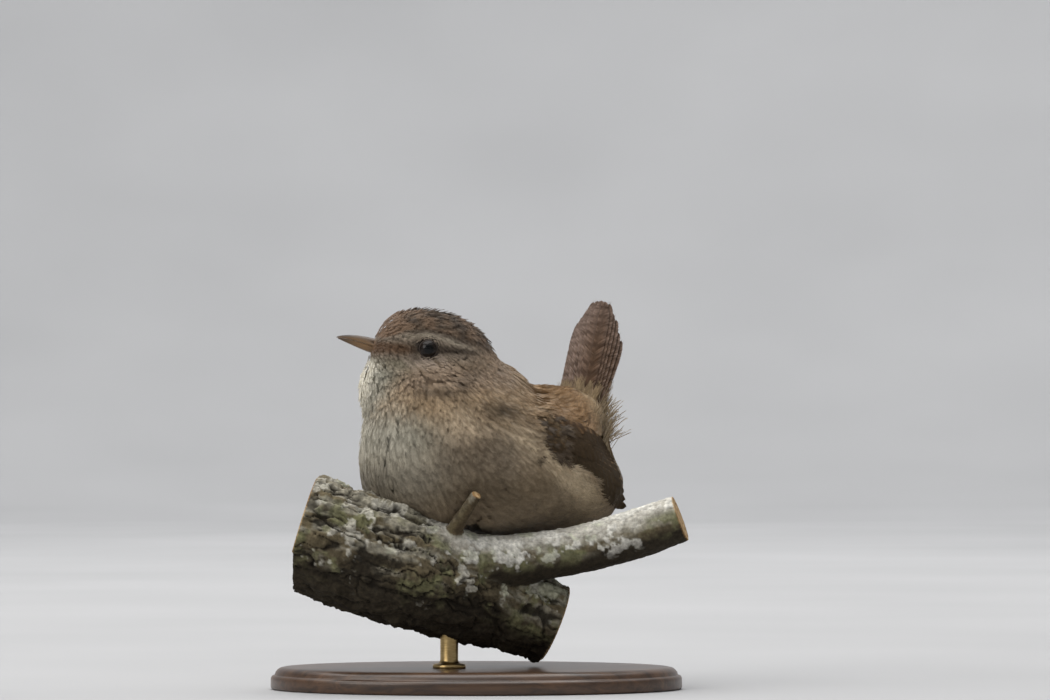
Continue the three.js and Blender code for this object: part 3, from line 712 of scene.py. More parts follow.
# ---- materials -------------------------------------------------------------------------------------
def material(name):
    m = bpy.data.materials.new(name)
    m.use_nodes = True
    nt = m.node_tree
    nt.nodes.clear()
    out = nt.nodes.new("ShaderNodeOutputMaterial")
    b = nt.nodes.new("ShaderNodeBsdfPrincipled")
    nt.links.new(b.outputs[0], out.inputs[0])
    return m, nt, b


def node(nt, kind, **values):
    n = nt.nodes.new(kind)
    for k, v in values.items():
        if hasattr(n, k):
            setattr(n, k, v)
        else:
            n.inputs[k.replace("_", " ")].default_value = v
    return n


def link(nt, a, b):
    nt.links.new(a, b)


def painted(name, roughness, grain=0.25, scale=900.0, bump=0.12, distance=0.00005, sheen=0.0, specular=0.3, stretch=None):
    """Colour from the mesh's own Col, broken up by fine noise, with a fine bump."""
    m, nt, b = material(name)
    col = node(nt, "ShaderNodeVertexColor", layer_name="Col")
    where = node(nt, "ShaderNodeTexCoord")
    source = where.outputs["Object"]
    if stretch:
        mapping = node(nt, "ShaderNodeMapping")
        mapping.inputs["Scale"].default_value = stretch
        link(nt, source, mapping.inputs[0])
        source = mapping.outputs[0]
    tex = node(nt, "ShaderNodeTexNoise", Scale=scale, Detail=3.0, Roughness=0.6)
    link(nt, source, tex.inputs["Vector"])
    ramp = node(nt, "ShaderNodeMapRange")
    ramp.inputs["From Min"].default_value = 0.3
    ramp.inputs["From Max"].default_value = 0.7
    ramp.inputs["To Min"].default_value = 1 - grain
    ramp.inputs["To Max"].default_value = 1 + grain
    link(nt, tex.outputs["Fac"], ramp.inputs["Value"])
    times = node(nt, "ShaderNodeVectorMath", operation="SCALE")
    link(nt, col.outputs["Color"], times.inputs[0])
    link(nt, ramp.outputs[0], times.inputs["Scale"])
    link(nt, times.outputs[0], b.inputs["Base Color"])
    bp = node(nt, "ShaderNodeBump", Strength=bump, Distance=distance)
    link(nt, tex.outputs["Fac"], bp.inputs["Height"])
    link(nt, bp.outputs[0], b.inputs["Normal"])
    b.inputs["Roughness"].default_value = roughness
    b.inputs["Specular IOR Level"].default_value = specular
    if sheen:
        b.inputs["Sheen Weight"].default_value = sheen
        b.inputs["Sheen Roughness"].default_value = 0.6
    return m


M_FEATHER = painted("feather_down", 0.9, grain=0.14, scale=2200, bump=0.1, sheen=0.2, specular=0.08)
M_VANE = painted("feather_vane", 0.74, grain=0.18, scale=1500, bump=0.25, specular=0.10)
M_SKIN = painted("skin", 0.7, grain=0.2, scale=1400, bump=0.4, distance=0.0001)
M_BARK = painted("bark", 0.92, grain=0.32, scale=1100, bump=0.8, distance=0.0002, specular=0.2)
M_BILL = painted("bill_horn", 0.38, grain=0.1, scale=1600, bump=0.12, specular=0.45)
M_CLAW = painted("claw_horn", 0.35, grain=0.12, scale=1800, bump=0.1, specular=0.45)


# ---- the skin --------------------------------------------------------------------------------------
def skin_field(p):
    d = plumage(p) + coat_depth(p)
    for a, b, r in SKIN_RODS:
        ab = b - a
        t = np.clip(((p - a) @ ab) / (ab @ ab), 0, 1)
        e = np.linalg.norm(p - a - t[..., None] * ab, axis=-1) - r
        d = join(d, e, 1.5)
    low = p[..., 2] < 46
    w = np.full(d.shape, 9.0)
    w[low] = wood_distance(p[low])
    return np.maximum(d, 2.1 - w)


# ---- feet ------------------------------------------------------------------------------------------
TOE_R = 0.56
FEET = {
    "l": (13.0, 46, {"hind": (6.2, 6, 4.8), "inner": (-7.2, 32, 3.2), "middle": (-9.8, 4, 3.5), "outer": (-8.0, -27, 3.2)}),
    "r": (-8.0, 47, {"hind": (5.9, -14, 4.6), "inner": (-7.0, -24, 3.2), "middle": (-9.6, 2, 3.5), "outer": (-7.9, 26, 3.2)}),
}


def to_bark(p):
    return min(float((np.linalg.norm(WOOD[w]["p"] - p, axis=1) - WOOD[w]["r"]).min()) for w in (0, 1))


def on_bark(x, angle, lift):
    lo, hi = 0.0, 20.0
    way = np.array([0, math.sin(angle), math.cos(angle)])
    for _ in range(26):
        t = (lo + hi) / 2
        if to_bark(np.array([x, -11, 30.2]) + way * t) < lift:
            lo = t
        else:
            hi = t
    return np.array([x, -11, 30.2]) + way * lo


LEGS, CLAWS = {}, {}
for side, (fx, fa, toes) in FEET.items():
    heel = on_bark(fx, fa * DEG, TOE_R + 0.3)
    back = bird([-1, 0, 0])
    hock = heel + np.array([back[0] * 5.4, back[1] * 5.4 + 1.6, 8.4])
    LEGS[side] = {"heel": heel, "hock": hock, "toes": []}
    CLAWS[side] = []
    for name, (run, turn, claw) in toes.items():
        n = 4 if name == "hind" else 8
        line = [heel] + [on_bark(fx + run * t, (fa + turn * t) * DEG, TOE_R + 0.08) for t in np.linspace(0, 1, n + 1)[1:]]
        LEGS[side]["toes"].append((np.array(line), TOE_R * (1.06 - 0.2 * np.linspace(0, 1, n + 1)), abs(run)))
        end = run + math.copysign(0.05, run)
        rows = []
        for t in np.linspace(0, 1, 11):
            lift = TOE_R + 0.08 + 0.62 * math.sin(math.pi * t) * (claw / 4) - 0.42 * t * t
            rows.append([*on_bark(fx + end + math.copysign(claw * 0.9, run) * t, (fa + turn * (1 + 0.2 * t)) * DEG, max(lift, 0.13)), mix(0.44, 0.06, t ** 1.25)])
        CLAWS[side].append(np.array(rows))

SKIN_RODS = [
    (bird([-17, 0, 55]), np.array([19.0, 11.0, 57.4]), 2.3),  # the tail's root
    (bird([12.0, 15.0, 60.0]), bird([0.0, 17.0, 56.0]), 1.5), (bird([12.0, -15.0, 60.0]), bird([0.0, -17.0, 56.0]), 1.5),
]
for side in LEGS:
    hock = LEGS[side]["hock"]
    SKIN_RODS.append((hock + np.array([0, 0, 0.6]), hock + np.array([-1.5, 0.5, 7.0]), 1.7))


def chain(p, line, radius):
    """Distance to a chain of tapered rods, with how far along it the nearest place is."""
    best = np.full(p.shape[:-1], 9.0)
    run = np.zeros(p.shape[:-1])
    s = 0.0
    for a, b, ra, rb in zip(line[:-1], line[1:], radius[:-1], radius[1:]):
        ab = b - a
        L = np.linalg.norm(ab)
        t = np.clip(((p - a) @ ab) / (L * L), 0, 1)
        d = np.linalg.norm(p - a - t[..., None] * ab, axis=-1) - mix(ra, rb, t)
        near = d < best
        best = np.where(near, d, best)
        run = np.where(near, s + t * L, run)
        s += L
    return best, run


def leg_field(side):
    leg = LEGS[side]

    def f(p):
        w = wood_distance(p, (0, 1))
        d = None
        for line, radius, length in leg["toes"]:
            e, run = chain(p, line, radius)
            # scutes ring the upper side and pads swell the underside between the joints
            ring = np.abs(np.sin(run / 0.62 * math.pi * 0.5)) ** 0.6
            e = e - 0.07 * (ring - 0.6) * ease(0.2, 0.9, w) + 0.05 * np.cos(run * 2 * math.pi / (length / 3.0)) * ease(0.8, 0.2, w)
            d = e if d is None else join(d, e, 0.28)
        e, run = chain(p, np.array([leg["heel"], mix(leg["heel"], leg["hock"], 0.5), leg["hock"] + [0, 0, 1.2]]), [0.66, 0.62, 0.86])
        e = e - 0.05 * (np.abs(np.sin(run / 1.15 * math.pi)) ** 0.5 - 0.6)
        d = join(d, e, 0.45)
        return np.maximum(d, 0.02 - w)
    return f


def grid_mesh(f, pts, pad, h, tetra=False):
    pts = np.asarray(pts)
    F, low = field_on_grid(f, pts.min(0) - pad, pts.max(0) + pad, h, band=h * 7)
    return tetra_mesh(F, low, h) if tetra else surface_nets(F, low, h)


def as_triangles(q):
    return np.vstack([q[:, [0, 1, 2]], q[:, [0, 2, 3]]])


def torus(centre, frame, major, minor, n=56, m=14, squash=0.93):
    a = np.linspace(0, 2 * math.pi, n, endpoint=False)[:, None]
    b = np.linspace(0, 2 * math.pi, m, endpoint=False)[None]
    r = major + minor * np.cos(b)
    x, y, z = r * np.cos(a), r * np.sin(a) * squash, minor * 1.1 * np.sin(b) * np.ones_like(a)
    v = centre + x[..., None] * frame[0] + y[..., None] * frame[2] + z[..., None] * frame[1]
    i = np.arange(n)[:, None] * m + np.arange(m)[None]
    j = np.roll(i, -1, 0)
    f = np.stack([i, j, np.roll(j, -1, 1), np.roll(i, -1, 1)], -1).reshape(-1, 4)
    return v.reshape(-1, 3), f


def union(name, parts):
    """One closed mesh from several that pass into each other."""
    for o in parts[1:]:
        m = parts[0].modifiers.new("join", "BOOLEAN")
        m.operation, m.solver, m.object = "UNION", "MANIFOLD", o
    dg = bpy.context.evaluated_depsgraph_get()
    me = bpy.data.meshes.new_from_object(parts[0].evaluated_get(dg))
    for o in parts:
        bpy.data.objects.remove(o)
    ob = bpy.data.objects.new(name, me)
    bpy.context.scene.collection.objects.link(ob)
    return ob


def outward(verts, quads):
    """Turns a mesh's faces so that they point out."""
    tri = quads[:, :3]
    a, b, c = verts[tri[:, 0]], verts[tri[:, 1]], verts[tri[:, 2]]
    v = dots(a, np.cross(b, c)).sum()
    if quads.shape[1] == 4:
        tri = quads[:, [0, 2, 3]]
        a, b, c = verts[tri[:, 0]], verts[tri[:, 1]], verts[tri[:, 2]]
        v += dots(a, np.cross(b, c)).sum()
    return quads if v > 0 else quads[:, ::-1]


SK_V, SK_Q = grid_mesh(skin_field, np.array([[-32, -26, 30], [28, 22, 88.0]]), 2.0, 0.5)
SK_Q = outward(SK_V, SK_Q)
parts = [mesh_object("skin_body", SK_V, SK_Q)]
for side in (1, -1):
    frame_e = np.stack([HEAD_AXES[0], HEAD_AXES[1] * side, HEAD_AXES[2]])
    c = in_head([EYE[0], side * EYE[1], EYE[2]])
    v, f = torus(c + frame_e[1] * 1.50, frame_e, 1.98, 0.21)
    parts.append(mesh_object("lid", v, outward(v - c, f)))
for side in LEGS:
    pts = np.vstack([t[0] for t in LEGS[side]["toes"]] + [LEGS[side]["hock"][None]])
    v, q = grid_mesh(leg_field(side), pts, 3.2, 0.16, tetra=True)
    parts.append(mesh_object("leg", v, q))
skin = union("wren_skin", parts)
co = np.empty(len(skin.data.vertices) * 3, np.float32)
skin.data.vertices.foreach_get("co", co)
P = co.reshape(-1, 3) / 0.001 - SHIFT
v, g = slope_of(plumage, P)
base = coat_colour(P, unit(g))
leg_near = np.minimum(*[leg_field(s)(P) for s in ("l", "r")])
hand = face_distance(to_head(P))[0]
base = mixc(base, np.broadcast_to(LID, P.shape), ease(0.9, 0.4, hand) * headness(P))
base = mixc(base, np.broadcast_to(tone(122, 94, 76, 1.0), P.shape), ease(0.25, 0.05, leg_near))
print("SKIN", len(skin.data.vertices), "on the legs", int((leg_near < 0.1).sum()), flush=True)
at = skin.data.color_attributes.new("Col", "FLOAT_COLOR", "POINT")
at.data.foreach_set("color", np.hstack([base, np.ones((len(P), 1))]).astype(np.float32).ravel())
skin.data.materials.clear()
skin.data.materials.append(M_SKIN)
skin.data.polygons.foreach_set("use_smooth", np.ones(len(skin.data.polygons), bool))
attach(skin, "root")
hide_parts("head", "neck", "trunk", "leg_l", "leg_r")


# ---- the wings' surface ------------------------------------------------------------------------------
def flank(f, z, side):
    f, z = np.broadcast_arrays(np.asarray(f, float), np.asarray(z, float))
    straight = 10 + (f + 30.3) * 0.17
    l = np.full(f.shape, 30.0)
    for _ in range(40):
        d = plumage(bird(np.stack([f, side * l, z], -1)))
        l = np.where((d > 0.02) & (l > 4), l - np.maximum(d * 0.85, 0.02), l)
    h = np.clip(0.5 + 0.5 * (l - straight) / 3, 0, 1)
    return straight + (l - straight) * h + 3 * h * (1 - h) * 0.6


def on_wing(f, z, off, side):
    return bird(np.stack([f, side * (flank(f, z, side) + off), z], -1))


def inside(poly, x, y):
    poly = np.asarray(poly, float)
    out = np.zeros(x.shape, bool)
    for (x0, y0), (x1, y1) in zip(poly, np.roll(poly, -1, 0)):
        cross = ((y0 > y) != (y1 > y)) & (x < (x1 - x0) * (y - y0) / np.where(y1 == y0, 1e-9, y1 - y0) + x0)
        out ^= cross
    return out


# where the folded wing hides the body's own feathers: forward and height
UNDER_WING = [(-0.5, 62.3), (-8, 60.2), (-16, 57.6), (-22, 54.8), (-26, 50.5), (-28.5, 46), (-29, 41.6), (-21.0, 42.4), (-17.3, 45.0), (-15.3, 48.2), (-12.7, 50.8), (-9.4, 52.8), (-2, 53.9), (-0.5, 55.5)]


# ---- feathers --------------------------------------------------------------------------------------
def scatter(points, radius):
    """Picks points no nearer to each other than their radius."""
    rmax = radius.max()
    low = points.min(0) - rmax
    cell = ((points - low) / rmax).astype(np.int64) + 1
    n = cell.max(0) + 2
    flat = (cell[:, 0] * n[1] + cell[:, 1]) * n[2] + cell[:, 2]
    K = 16
    grid = np.full((int(n.prod()), K), -1, np.int32)
    fill = np.zeros(len(grid), np.int32)
    offs = np.array([(a * n[1] + b) * n[2] + c for a in (-1, 0, 1) for b in (-1, 0, 1) for c in (-1, 0, 1)])
    chosen = []
    for a in range(0, len(points), 500):
        idx = np.arange(a, min(a + 500, len(points)))
        cand = grid[flat[idx][:, None] + offs[None]].reshape(len(idx), -1)
        q = points[np.maximum(cand, 0)] - points[idx][:, None]
        d2 = np.where(cand < 0, 1e9, (q * q).sum(-1))
        idx = idx[(d2 > radius[idx][:, None] ** 2).all(1)]
        if not len(idx):
            continue
        q = points[idx][:, None] - points[idx][None]
        near = np.triu((q * q).sum(-1) < radius[idx][None] ** 2, 1)
        idx = idx[~near.any(0)]
        for i in idx:
            c = flat[i]
            if fill[c] < K:
                grid[c, fill[c]] = i
                fill[c] += 1
                chosen.append(i)
    return np.array(chosen)


def surface_points(V, Q, density, count):
    """Random points on a mesh, in number by area and density."""
    T = as_triangles(Q)
    a, b, c = V[T[:, 0]], V[T[:, 1]], V[T[:, 2]]
    area = np.linalg.norm(np.cross(b - a, c - a), axis=1) / 2
    w = area * density((a + b + c) / 3)
    pick = rng.choice(len(T), count, p=w / w.sum())
    r1, r2 = np.sqrt(rng.random(count)), rng.random(count)
    return a[pick] * (1 - r1)[:, None] + b[pick] * (r1 * (1 - r2))[:, None] + c[pick] * (r1 * r2)[:, None]


def at_param(arr, t, top):
    """Values along each feather's own row of samples, at parameters t that go to top."""
    K = arr.shape[1]
    x = np.clip(t / top * (K - 1), 0, K - 1 - 1e-6)
    i = x.astype(int)
    w = (x - i)[..., None]
    r = np.arange(arr.shape[0])[:, None]
    return arr[r, i] * (1 - w) + arr[r, i + 1] * w


def clear_of_wood(p, gap):
    low = p[..., 2] < 48
    q = p[low]
    if len(q):
        for _ in range(2):
            e = 0.1
            d = wood_distance(q)
            hit = d < gap
            if not hit.any():
                break
            s = q[hit]
            g = unit(np.stack([wood_distance(s + np.eye(3)[k] * e) - d[hit] for k in range(3)], -1))
            q[hit] = s + g * (gap - d[hit])[:, None]
        p[low] = q
    return p


def barbs(S, B, N, ti, gap, w, tc, c, s, top, wide=1.5, thick=0.08):
    """A row of tapered barbs on one side of the shafts S: corners, faces and normals that carry on the coat's own."""
    n, nb = w.shape
    z = np.zeros((n, 1))
    tb = np.minimum(ti + gap * wide, 1.05) + z
    a, b = at_param(S, ti + z, top), at_param(S, tb, top)
    bn, nn = at_param(B, ti + z, top), at_param(N, ti + z, top)
    bc, nc = at_param(B, tc, top), at_param(N, tc, top)
    a = a - s * 0.03 * bn
    d = (a * 0.45 + b * 0.4 + c * 0.15) - nn * thick
    V = np.stack([a, b, c, d], 2).reshape(n, nb * 4, 3)
    K = np.stack([nn + s * 0.05 * bn, nn + s * 0.02 * bn, nc + s * 0.14 * bc, nn], 2).reshape(n, nb * 4, 3)
    one = np.array([[0, 1, 2], [1, 0, 3], [2, 1, 3], [0, 2, 3]])
    if s > 0:
        one = one[:, ::-1]
    F = ((np.arange(nb) * 4)[:, None, None] + one[None]).reshape(-1, 3)
    return V, F, K, tb


def sink(t):
    """How deep a feather lies along its length: it rises steeply from the skin and then runs along the coat."""
    u = 1 - np.minimum(t, 1.0)
    return 0.20 * u + 0.80 * u ** 3


def feathers(root, length, half, depth, lift, nb, turn=None, steps=9, top=1.22, ragged=1.7, fine=False, pattern=None, rose=True):
    """Contour feathers: a row of tapered barbs on each side of a shaft that lies along the coat.
    Returns vertices, triangles, colours, each vertex's place on its own feather, and normals."""
    n = len(root)
    turn = np.zeros(n) if turn is None else turn
    S, N = [root], []
    p = root
    seg = length * top / (steps - 1)
    raised = rise(root) if rose else np.zeros(n)
    for k in range(steps):
        _, g = slope_of(plumage, p)
        nn = unit(g)
        N.append(nn)
        if k == steps - 1:
            break
        w = flow(p, nn)
        w = w * np.cos(turn)[:, None] + np.cross(nn, w) * np.sin(turn)[:, None]
        t = (k + 1) * top / (steps - 1)
        p = p + w * seg[:, None]
        target = -depth * sink(t) + raised * min(1.7 * t, 1.0) + lift * min(t, 1.15) ** 3
        p = settle(p, target, 1)
        S.append(p)
    S, N = np.stack(S, 1), np.stack(N, 1)
    T = unit(np.gradient(S, axis=1))
    B = unit(np.cross(T, N))
    N = np.cross(B, T)
    C = None if fine else coat_colour(S, N)
    i = np.arange(nb)
    t0 = 0.40
    ti = t0 + (0.98 - t0) * (i / nb) ** 0.95
    gap = np.gradient(ti)
    ang = mix(38, 12, ease(0.2, 1.0, ti)) * DEG
    prof = (0.35 + 0.65 * np.sin(np.pi * np.clip(ti * 0.92, 0, 1)) ** 0.8) * np.where(ti > 0.75, 1 - 0.45 * ease(0.75, 1.0, ti), 1)
    z = np.zeros((n, 1))
    Lc = length[:, None]
    # each feather is tipped a little on its own, so that neighbours part softly
    lean = 0.08 * rng.normal(0, 1, (n, 1, 1)) * B[:, 4:5] + 0.06 * rng.normal(0, 1, (n, 1, 1)) * T[:, 4:5]
    V, F, COL, UV, K = [], [], [], [], []
    base = 0
    for s in (1, -1):
        r1, r2 = rng.random((n, nb)), rng.random((n, nb))
        w = half[:, None] * prof * (1 + 0.35 * ragged * (r1 - 0.5))
        tc = np.clip(ti + w / np.tan(ang) / Lc * (1 + 0.25 * ragged * (r2 - 0.5)), 0, top - 0.01)
        c = at_param(S, tc, top) + s * w[..., None] * at_param(B, tc, top)
        droop = 0.06 * half[:, None] * (w / half[:, None]) ** 2
        far = np.minimum(tc, 1.0)
        target = -depth[:, None] * sink(far) + raised[:, None] * np.minimum(1.7 * far, 1.0) + lift[:, None] * np.minimum(tc, 1.15) ** 3 - droop + 0.03 * (r2 - 0.4)
        c = settle(c.reshape(-1, 3), target.reshape(-1), 1).reshape(c.shape)
        v, f, k, tb = barbs(S, B, N, ti, gap, w, tc, c, s, top, wide=2.1, thick=0.04 + 0.05 * half[:, None, None])
        V.append(v)
        F.append(f + base)
        K.append(k)
        base += nb * 4
        # painted shade: the keel corner under each barb is darker
        if fine:
            here = coat_colour(v[:, :, :].reshape(n, nb, 4, 3)[:, :, :3], at_param(N, ti + z, top)[:, :, None] + np.zeros((1, 1, 3, 1)))
            COL.append(np.concatenate([here, here[:, :, :1] * 0.9], 2).reshape(n, nb * 4, 3))
        else:
            ca, cb, cc = at_param(C, ti + z, top), at_param(C, tb, top), at_param(C, tc, top)
            COL.append(np.stack([ca, cb, cc, ca * 0.9], 2).reshape(n, nb * 4, 3))
        tt = np.stack([ti + z, tb, tc, ti + z + 0.02], 2)
        ss = np.stack([z + 0 * w - s * 0.04, 0 * w, s * w / half[:, None], s * (0.12 + 0 * w)], 2)
        UV.append(np.stack([ss, tt], -1).reshape(n, nb * 4, 2))
    # the last barb carries the shaft's line on
    ta, tb = 0.90, 1.10
    one = lambda arr, t: at_param(arr, np.full((n, 1), t), top)[:, 0]
    bn, nn = one(B, ta), one(N, ta)
    V.append(np.stack([one(S, ta) + bn * 0.07, one(S, ta) - bn * 0.07, one(S, tb), one(S, ta) - nn * 0.07], 1))
    K.append(np.stack([nn, nn, one(N, tb), nn], 1))
    F.append(base + np.array([[0, 1, 2], [1, 0, 3], [2, 1, 3], [0, 2, 3]])[:, ::-1])
    # painted shade: the keel corner under the last barb is darker
    if fine:
        ca = cb = coat_colour(one(S, ta), nn)
    else:
        ca, cb = one(C, ta), one(C, tb)
    COL.append(np.stack([ca, ca, cb, ca * 0.9], 1))
    UV.append(np.broadcast_to(np.array([[0.08, ta], [-0.08, ta], [0, tb], [0.02, ta - 0.03]]), (n, 4, 2)))
    V, COL, UV, K, F = np.concatenate(V, 1), np.concatenate(COL, 1), np.concatenate(UV, 1), np.concatenate(K, 1), np.concatenate(F, 0)
    K = unit(K + lean)
    # turn outer faces out
    a, b, c = V[:, F[0, 0]], V[:, F[0, 1]], V[:, F[0, 2]]
    if (dots(np.cross(b - a, c - a), N[:, 4]) > 0).mean() < 0.5:
        F = F[:, ::-1]
    # markings of each feather, and painted shade towards its root
    t, s = UV[..., 1], np.abs(UV[..., 0])
    bars, streak, pale = marks(S[:, 6], N[:, 6])
    k = 1 + 0.07 * rng.normal(0, 1, (n, 1))
    # painted shade: darker towards the root, where the feather lies under others
    k = k * mix(0.93, 1.0, ease(0.25, 0.75, t))
    band = ease(0.62, 0.70, t) * ease(0.86, 0.78, t) + 0.8 * ease(0.48, 0.40, np.abs(t - 0.98) / 0.12)
    k = k * (1 - bars[:, None] * (band - 0.25))
    k = k * (1 - streak[:, None] * (0.55 - s))
    k = k * (1 + pale[:, None] * 0.5 * ease(0.85, 1.1, t))
    COL = COL * np.clip(k, 0.2, 1.8)[..., None]
    if pattern is not None:
        COL = pattern(COL, UV, V)
    return V, F, COL, UV, K


def patch_grid(uv, size=0.0034):
    """Gives every feather a patch of its own, as near as can be to its place."""
    n = int(1 / size) - 2
    cell = np.clip((uv / size).astype(int), 0, n - 1)
    taken, out = set(), np.empty((len(uv), 2))
    ring = sorted(((a, b) for a in range(-9, 10) for b in range(-9, 10)), key=lambda x: x[0] ** 2 + x[1] ** 2)
    for i, (a, b) in enumerate(cell):
        for da, db in ring:
            k = (min(max(a + da, 0), n - 1), min(max(b + db, 0), n - 1))
            if k not in taken:
                break
        taken.add(k)
        out[i] = (k[0] * size + 0.0002, k[1] * size + 0.0002)
    return out


def unwrap(root, centre):
    """Places on a flat map of the skin seen from inside, spread about the piece's own middle."""
    d = unit(root - centre)
    m = unit(d.mean(0))
    e1 = unit(np.cross(m, [0.3, 0.1, 1.0]))
    e2 = np.cross(m, e1)
    ang = np.arccos(np.clip(d @ m, -1, 1))
    az = np.arctan2(d @ e2, d @ e1)
    uv = np.stack([ang * np.cos(az), ang * np.sin(az)], -1)
    lo, hi = uv.min(0), uv.max(0)
    return 0.02 + 0.95 * (uv - lo) / np.maximum(hi - lo, 1e-6)


def coat_piece(name, groups, centre, slot, material):
    """One mesh from several groups of feathers."""
    roots = np.vstack([g["root"] for g in groups])
    cell = patch_grid(unwrap(roots, centre))
    V, F, C, U, N, base, k = [], [], [], [], [], 0, 0
    for g in groups:
        v, f, c, uv, nn = g["made"]
        n, m = v.shape[:2]
        V.append(v.reshape(-1, 3))
        C.append(c.reshape(-1, 3))
        N.append(nn.reshape(-1, 3))
        F.append((f[None] + (base + np.arange(n) * m)[:, None, None]).reshape(-1, 3))
        here = cell[k:k + n][:, None]
        U.append((here + np.clip(np.stack([0.5 + uv[..., 0] * 0.38, uv[..., 1] / 1.22], -1), 0, 1) * 0.003).reshape(-1, 2))
        base += n * m
        k += n
    V, F = np.vstack(V), np.vstack(F)
    ob = mesh_object(name, V, F, np.vstack(C), np.vstack(U), smooth=True, material=material, normals=np.vstack(N))
    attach(ob, "root")
    print("COAT", name, "feathers", len(roots), "triangles", len(F), flush=True)
    return ob


def spacing(p, h, near):
    return mix(mix(0.86, 0.53, h), 0.36 + 0.04 * h, ease(4.5, 0.2, near))


def region_sizes(p, h, near):
    q, b = to_head(p), to_bird(p)
    f, z, l = b[..., 0], b[..., 2], np.abs(b[..., 1])
    L = 6.6 + 1.6 * ease(4, -6, f) * ease(60, 50, z) + 1.2 * ease(-14, -24, f)
    L = mix(L, 5.4, ease(60, 68, z) * ease(8, 18, f))
    L = mix(L, 2.9, h)
    L = mix(L, 4.0, h * ease(-4, -9, q[..., 2]))
    L = mix(L, 1.15, ease(5.0, 0.0, near))
    return L


cand = surface_points(SK_V, SK_Q, lambda c: 1 / spacing(c, headness(c), np.minimum(*face_distance(to_head(c)))) ** 2, 260000)
h = headness(cand)
q = to_head(cand)
eye_d, bill_d = face_distance(q)
near = np.minimum(eye_d, bill_d)
b = to_bird(cand)
v, g = slope_of(plumage, cand)
keep = wood_distance(cand) > 2.25
keep &= v < 0.2
a = np.stack([q[:, 0], np.abs(q[:, 1]), q[:, 2]], -1)
on_eye = (np.hypot(a[:, 0] - EYE[0], (a[:, 2] - EYE[2]) / 0.93) < 2.14) & (a[:, 1] > 5.5)
keep &= ~on_eye
keep &= ~((q[:, 0] > 9.5) & ((q[:, 1] / 1.75) ** 2 + ((q[:, 2] + 0.75) / 1.6) ** 2 < 1))
def covered(w):
    return inside(UNDER_WING, w[:, 0], w[:, 2]) & (np.abs(w[:, 1]) > 10.7 + (w[:, 0] + 30.3) * 0.17)


hidden = covered(b)
# feathers in front of the wing end at its edge
to_wing = np.full(len(cand), 99.0)
way = flow(cand, unit(g))
for s in np.arange(9.0, 0.0, -0.5):
    ab = to_bird(cand + s * way)
    to_wing[covered(ab)] = s
hidden |= to_wing < 1.2
keep &= ~hidden
tail_root = np.array([19.4, 11.2, 58.0])
tail_way = unit([0.205, 0.115, 1.0])
d = cand - tail_root
along_t = d @ tail_way
off_axis = np.linalg.norm(d - along_t[:, None] * tail_way, axis=1)
keep &= ~((off_axis < 3.0) & (along_t > -2.0))
cand, h, near, b, v, q, to_wing = cand[keep], h[keep], near[keep], b[keep], v[keep], q[keep], to_wing[keep]
pick = scatter(cand, spacing(cand, h, near))
root, h, near, b, v, q, to_wing = cand[pick], h[pick], near[pick], b[pick], v[pick], q[pick], to_wing[pick]
L = region_sizes(root, h, near) * (1 + 0.12 * rng.normal(0, 1, len(root)).clip(-2, 2))
L = np.minimum(L, (to_wing + 0.6 + 2.2 * np.maximum(0, noise(root / 1.6, 77))) / 1.2)
half = L * mix(0.165, 0.20, h)
depth = np.minimum(-v, coat_depth(root) * 1.1).clip(0.12, 3)
# tips stand a little out where the coat is ruffled
crown_up = h * ease(4, 8, q[:, 2])
throat_up = h * ease(-3, -5, q[:, 2]) * ease(3, 7, q[:, 0])
rump_up = ease(-20, -26, b[:, 0]) * (1 - h) * ease(55, 59, b[:, 2])
ruffle = np.maximum(0, noise(root / 2.8, 15)) * mix(0.15, 0.09, h)
one = rng.random(len(root))
over_wing = (1 - h) * (np.abs(b[:, 1]) > 9) * ease(-3, 0, b[:, 0]) * ease(9, 6, b[:, 0]) * ease(52, 54, b[:, 2]) * ease(67, 65, b[:, 2])
topside = (1 - h) * ease(59, 63, b[:, 2])
lift = 0.06 * one + ruffle + 0.45 * crown_up * one ** 2 + 0.28 * throat_up * one + 0.9 * rump_up * one ** 2 + over_wing * (0.12 + 0.22 * one) + 0.22 * topside * one
lift = lift * ease(0, 3, near)
clump = noise(root / 2.6, 5) * 0.22 * (1 - 0.5 * h) + rng.normal(0, 0.10, len(root))
turn = clump * ease(0.5, 4, near)
nz = slope_of(plumage, root)[1][:, 2]

region = np.full(len(root), -1)
is_head = h > 0.5
side_l = b[:, 1] > 0
region[is_head & (q[:, 2] > 0.8)] = 0
region[is_head & (q[:, 2] <= 0.8) & (q[:, 1] > 0)] = 1
region[is_head & (q[:, 2] <= 0.8) & (q[:, 1] <= 0)] = 2
rest = region < 0
region[rest & (nz > 0.5)] = 3
region[rest & (nz > 0.5) & ~side_l] = 11
region[rest & (region < 0) & (b[:, 0] < -15)] = 4
region[rest & (region < 0) & (b[:, 0] > 9) & side_l] = 5
region[rest & (region < 0) & (b[:, 0] > 9) & ~side_l] = 6
region[rest & (region < 0) & side_l & (b[:, 0] > -2)] = 7
region[rest & (region < 0) & ~side_l & (b[:, 0] > -2)] = 8
region[rest & (region < 0) & side_l] = 9
region[rest & (region < 0)] = 10
NAMES = ["coat_crown", "coat_cheek_l", "coat_cheek_r", "coat_mantle_l", "coat_rump", "coat_breast_l", "coat_breast_r", "coat_side_l", "coat_side_r", "coat_flank_l", "coat_flank_r", "coat_mantle_r"]
SLOTS = ["crown", "crown", "crown", "trunk", "trunk", "breast", "breast", "breast", "breast", "trunk", "trunk", "trunk"]
